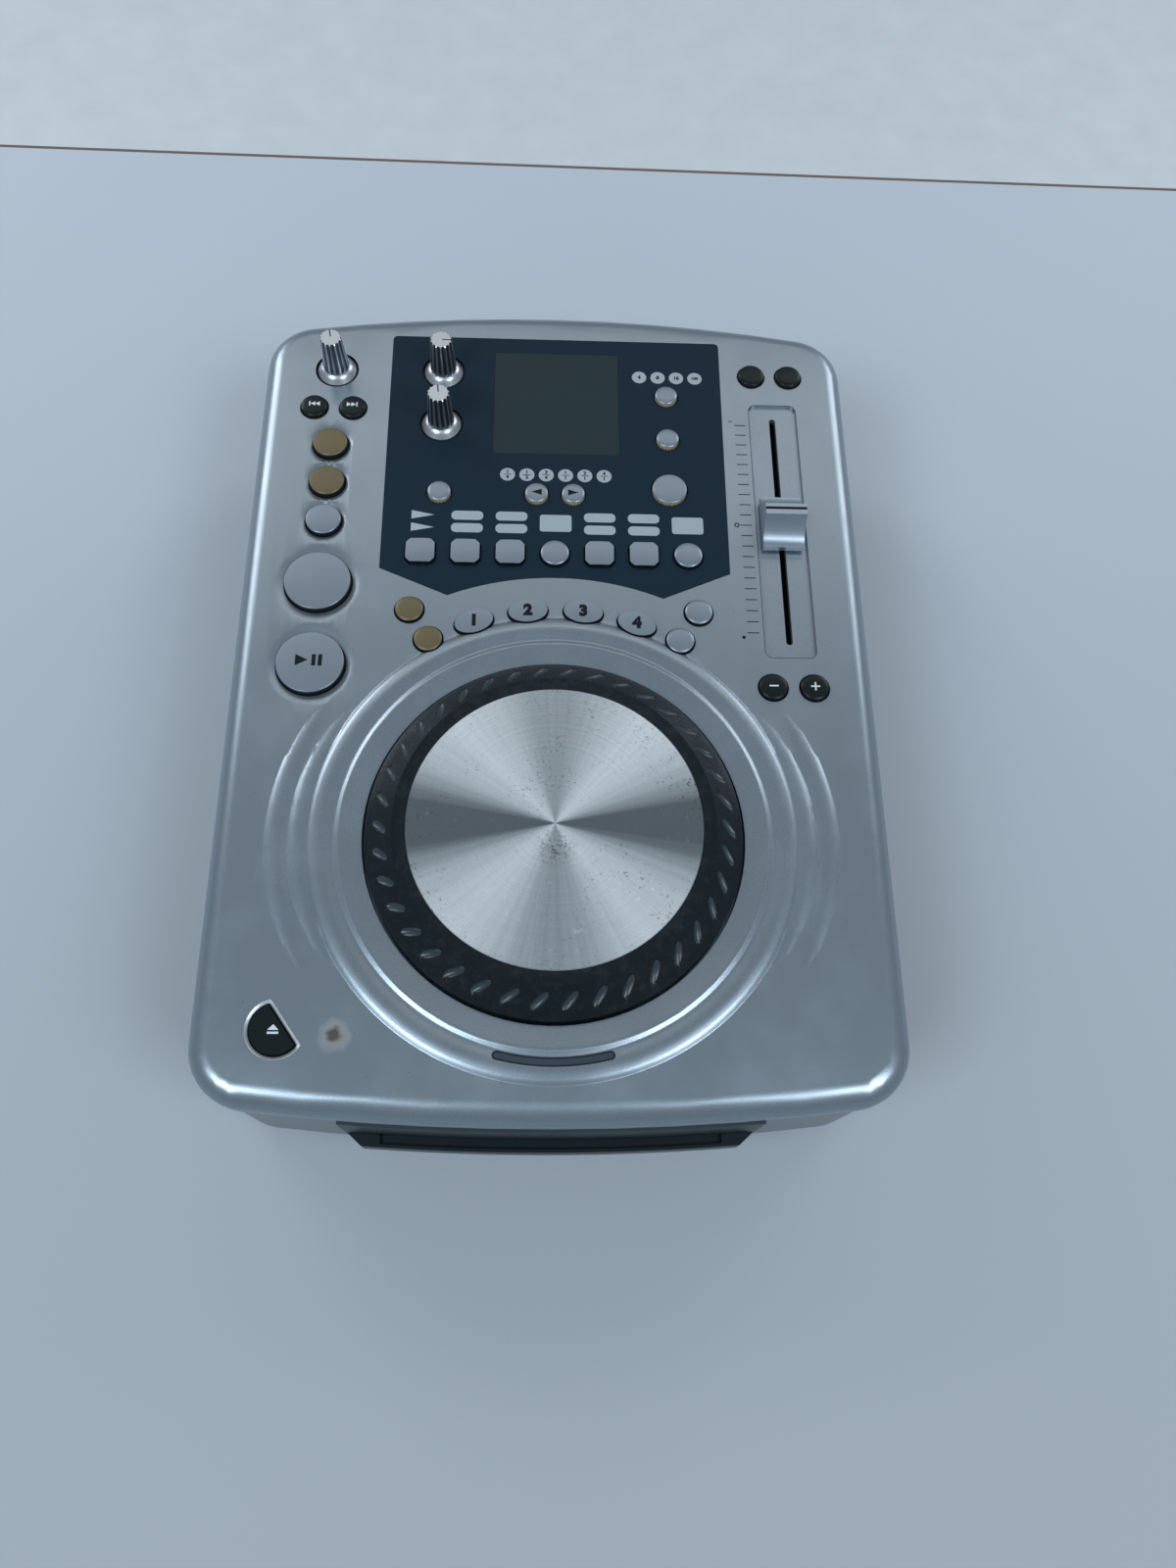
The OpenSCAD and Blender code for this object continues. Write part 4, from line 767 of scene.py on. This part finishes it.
def dressLenses():
    def pick(p, normal):
        return 1 if p.y < jog.y else 0

    lens = dressed("lamp_windows", extra=("lensBlue", "darkPlasticAndPaintedShade"), pick=pick)
    bm = bmesh.new()
    bm.from_mesh(lens.data)
    face = [f for f in bm.faces if f.material_index == 1 and f.normal.z > lensForm["upward"]]
    # the gap about the curved lens is painted shade
    gap = bmesh.ops.inset_region(bm, faces=face, thickness=lensForm["gap"] * mm, use_even_offset=True)
    for f in gap["faces"]:
        f.material_index = 2
    bm.to_mesh(lens.data)
    bm.free()
    print("lenses dressed")


# the knobs: a line on the top, and painted shade in the flutes inside the grip, which runs from
# the first to the second (radius, height)
knobForm = dict(pointer=(0.5, 3.6), pointerFrom=0.5, pointerSunk=0.1, pointerProud=0.01,
                grip=((5.5, 2.5), (4.5, 18.6)), gripFrom=0.3, upright=0.5, flute=0.22,
                turns={"search_knob": 100, "upper_knob": 0, "lower_knob": 95})


def dressKnobs():
    k = knobForm
    (r0, z0), (r1, z1) = k["grip"]
    wide, length = (v * mm for v in k["pointer"])
    for node in knobNodes:
        low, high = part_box(node)
        centre = (low + high) / 2

        def pick(p, normal):
            r, z = fromAxis(p, centre)
            inGrip = z > z0 + k["gripFrom"] and abs(normal.z) < k["upright"]
            return 1 if inGrip and r < r0 + (z - z0) * (r1 - r0) / (z1 - z0) - k["flute"] else 0

        dressed(node, smooth=28, extra=("knobFluteShade",), pick=pick)
        bm = bmesh.new()
        bar(bm, length / 2 + k["pointerFrom"] * mm, 0, length, wide,
            high.z - k["pointerSunk"] * mm, high.z + k["pointerProud"] * mm)
        turned = Matrix.Rotation(math.radians(k["turns"][node]), 3, "Z")
        bmesh.ops.rotate(bm, cent=(0, 0, 0), matrix=turned, verts=bm.verts[:])
        bmesh.ops.translate(bm, vec=(centre.x, centre.y, 0), verts=bm.verts[:])
        printed(node + "_pointer", bm, "darkPrint", nodeBody[node])
    print("knobs dressed")


# the fader's cap with its dark index line
faderForm = dict(index=1.0, shift=0.4, inset=0.1, sunk=0.3, proud=0.01)


def dressFader():
    f = faderForm
    dressed("fader_cap", smooth=24, finish="capSilver")
    low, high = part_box("fader_cap")
    centre = (low + high) / 2
    bm = bmesh.new()
    bar(bm, centre.x, centre.y + f["shift"] * mm, high.x - low.x - f["inset"] * mm, f["index"] * mm,
        high.z - f["sunk"] * mm, high.z + f["proud"] * mm)
    printed("fader_index", bm, "darkPrint", nodeBody["fader_cap"])
    print("fader dressed")


# the bevel about the half-moon key, from the cover's top down to the key's gap, with a painted highlight in its
# brighter finish
ejectForm = dict(at=(-93.7, -70.5), radius=8.7, flat=2.4, turn=36.0, gap=0.65, rim=1.05,
                 proud=0.02, drop=0.48, thick=0.01, steps=48)


def halfMoon(bm, grow, z):
    e = ejectForm
    r, chord = e["radius"] + grow, e["flat"] + grow
    start = math.acos(chord / r)
    turns = [start + (math.tau - 2 * start) * i / e["steps"] for i in range(e["steps"] + 1)]
    place = Matrix.Rotation(math.radians(e["turn"]), 3, "Z")
    centre = Vector((jog.x + e["at"][0] * mm, jog.y + e["at"][1] * mm, z))
    return loop(bm, [centre + place @ Vector((r * math.cos(t) * mm, r * math.sin(t) * mm, 0)) for t in turns])


def addEjectRim():
    e = ejectForm
    bm = bmesh.new()
    outer = halfMoon(bm, e["gap"] + e["rim"], top + e["proud"] * mm)
    inner = halfMoon(bm, e["gap"], top - e["drop"] * mm)
    bmesh.ops.bridge_loops(bm, edges=outer + inner)
    walls = bmesh.ops.extrude_edge_only(bm, edges=[x for x in bm.edges if x.is_boundary])["geom"]
    for v in [x for x in walls if isinstance(x, bmesh.types.BMVert)]:
        v.co.z = top - (e["drop"] + e["thick"]) * mm
    bmesh.ops.bridge_loops(bm, edges=[x for x in bm.edges if x.is_boundary])
    bmesh.ops.recalc_face_normals(bm, faces=bm.faces[:])
    piece("eject_rim", bm, "paintedHighlightEdge", "root", smooth=25)
    print("rim about the half-moon key")


# the drawer's front has a painted highlight along its upper edge, in a paler finish
drawerForm = dict(edge=0.6, upward=0.8)


def dressDrawer():
    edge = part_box("tray_front")[1].z - drawerForm["edge"] * mm

    def pick(p, normal):
        return 1 if normal.z > drawerForm["upward"] and p.z > edge else 0

    dressed("tray_front", smooth=30, extra=("drawerEdgeHighlight",), pick=pick)
    print("drawer dressed")


# the boards: laminate up to this height in mm, the soldered parts on it dark, the outer sockets and
# the transformer's core metal
boardForm = dict(main_board=29.8, power_supply=19.8, control_board=67.8, socketFrom=160.5, coreX=50, coreY=140)


def dressBoards():
    b = boardForm

    def pickOn(node):
        def pick(p, normal):
            if p.z < b[node] * mm:
                return 0
            isSocket = node == "main_board" and p.y > b["socketFrom"] * mm
            isCore = node == "power_supply" and p.x > b["coreX"] * mm and p.y < b["coreY"] * mm
            return 2 if isSocket or isCore else 1
        return pick

    for node in ("main_board", "power_supply", "control_board"):
        dressed(node, extra=("darkPlasticAndPaintedShade", "steel"), pick=pickOn(node))
    print("boards dressed")


# the table's pale top ends behind the player at a rough brown edge, with a paler board beyond;
# it is painted darker near the camera as painted shade, and lies in clouds with a few scuffs
floorForm = dict(edgeLeft=(-0.304, 0.3581), edgeRight=(0.354, 0.3534), edge=0.0022, reach=3.0, step=0.0002,
                 near=(0.275, 0.31, 0.335), far=(0.415, 0.475, 0.54), roughness=0.6, nearToFar=(-0.45, 0.36),
                 cloudScale=5, cloudShare=0.2, cloudColour=(0.33, 0.38, 0.43),
                 scuff=dict(scale=60, detail=4, roughness=0.65, low=0.70, high=0.78),
                 scuffShare=0.1, scuffColour=(0.28, 0.33, 0.37))
backdropFinishes = dict(roughEdge=dict(colour=(0.12, 0.09, 0.07), roughness=0.8),
                        boardPaint=dict(colour=(0.47, 0.52, 0.56), roughness=0.6, grain=60))


def floorPaint():
    w = floorForm
    f = Finish("floorPaint", w["far"], w["roughness"])
    # painted shade: the floor's colour goes from darker near the camera to paler at the back
    away = f.add("SeparateXYZ", {}, {0: f.place}, "Y").between(*w["nearToFar"])
    tone = f.coats(f.mix(away, w["near"], w["far"]),
                   (f.noise(w["cloudScale"], detail=3), w["cloudShare"], w["cloudColour"]),
                   (f.specks(**w["scuff"]), w["scuffShare"], w["scuffColour"]))
    f.paint("Base Color", tone)
    return f


def addStage(name, corners, z, finish):
    bm = bmesh.new()
    flat(bm, corners, z)
    bmesh.ops.recalc_face_normals(bm, faces=bm.faces[:])
    mesh = bpy.data.meshes.new(name)
    bm.to_mesh(mesh)
    bm.free()
    obj = bpy.data.objects.new(name, mesh)
    mesh.materials.append(finish.material)
    bpy.context.scene.collection.objects.link(obj)


def addFloor():
    w = floorForm
    roughEdge, boardPaint = (moulded(name, **values) for name, values in backdropFinishes.items())
    (x0, y0), (x1, y1) = w["edgeLeft"], w["edgeRight"]
    r, e, rise = w["reach"], w["edge"], (y1 - y0) / (x1 - x0)
    left, right = y0 + (-r - x0) * rise, y0 + (r - x0) * rise
    addStage("floor", [(-r, -r), (r, -r), (r, right), (-r, left)], 0, floorPaint())
    addStage("floorEdge", [(-r, left), (r, right), (r, right + e), (-r, left + e)], -w["step"], roughEdge)
    addStage("board", [(-r, left + e), (r, right + e), (r, r), (-r, r)], -2 * w["step"], boardPaint)
    print("floor laid")


# soft lamps before, behind and above the player, all aimed at it, under a pale sky
sky = {"Color": (0.80, 0.90, 1.0, 1), "Strength": 0.34}
aimAt = Vector((0, 0, 0.05))
lamps = dict(
    frontRight=dict(at=(0.85, -0.75, 1.45), size=(0.7, 0.7), power=13, tone=(0.86, 0.94, 1.0)),
    frontLeft=dict(at=(-0.85, -0.75, 1.45), size=(0.7, 0.7), power=14, tone=(0.83, 0.93, 1.0)),
    backRight=dict(at=(1.1, 1.05, 0.85), size=(0.7, 0.7), power=5, tone=(0.97, 0.98, 1.0)),
    backLeft=dict(at=(-1.1, 1.05, 0.85), size=(0.7, 0.7), power=7, tone=(0.97, 0.98, 1.0)),
    wall=dict(at=(0, 1.35, 1.6), size=(1.8, 0.5), power=3.0, tone=(1.0, 0.96, 0.90)),
)


def addLights():
    world = bpy.data.worlds.new("sky")
    bpy.context.scene.world = world
    world.use_nodes = True
    for key, value in sky.items():
        world.node_tree.nodes["Background"].inputs[key].default_value = value
    for name, lamp in lamps.items():
        data = bpy.data.lights.new(name, "AREA")
        data.shape = "RECTANGLE"
        data.size, data.size_y = lamp["size"]
        data.energy = lamp["power"]
        data.color = lamp["tone"]
        obj = bpy.data.objects.new(name, data)
        obj.location = lamp["at"]
        obj.rotation_euler = (aimAt - obj.location).to_track_quat("-Z", "Y").to_euler()
        bpy.context.scene.collection.objects.link(obj)
    print("lights set")


# where the photograph was taken from: place in mm, turn in degrees, and the lens, also in mm
view = dict(at=(-6.59, -216.45, 487.77), turn=(22.362, -2.4835, -0.378), lens=27.5, sensor=36)


def addCamera():
    data = bpy.data.cameras.new("camera")
    data.lens = view["lens"]
    data.sensor_fit = "VERTICAL"
    data.sensor_height = view["sensor"]
    obj = bpy.data.objects.new("camera", data)
    obj.location = [v * mm for v in view["at"]]
    obj.rotation_euler = [math.radians(v) for v in view["turn"]]
    bpy.context.scene.collection.objects.link(obj)
    bpy.context.scene.camera = obj
    print("camera set")


makeFinishes()
finishNodes()
dressCover()
dressKeys()
dressKnobs()
dressFader()
dressDrawer()
dressLenses()
addEjectRim()
dressRing()
dressBoards()
for name in ("base_pan", "jog_disc", "feet"):
    dressed(name)
print("case, disc and feet dressed")
addSigns()
addScale()
addPills()
addNumbers()
# the recess line is painted shade, laid with the prints
addRecessLine()
print("prints on the cover")

addFloor()
addLights()
addCamera()
bpy.context.scene.view_settings.view_transform = "Standard"
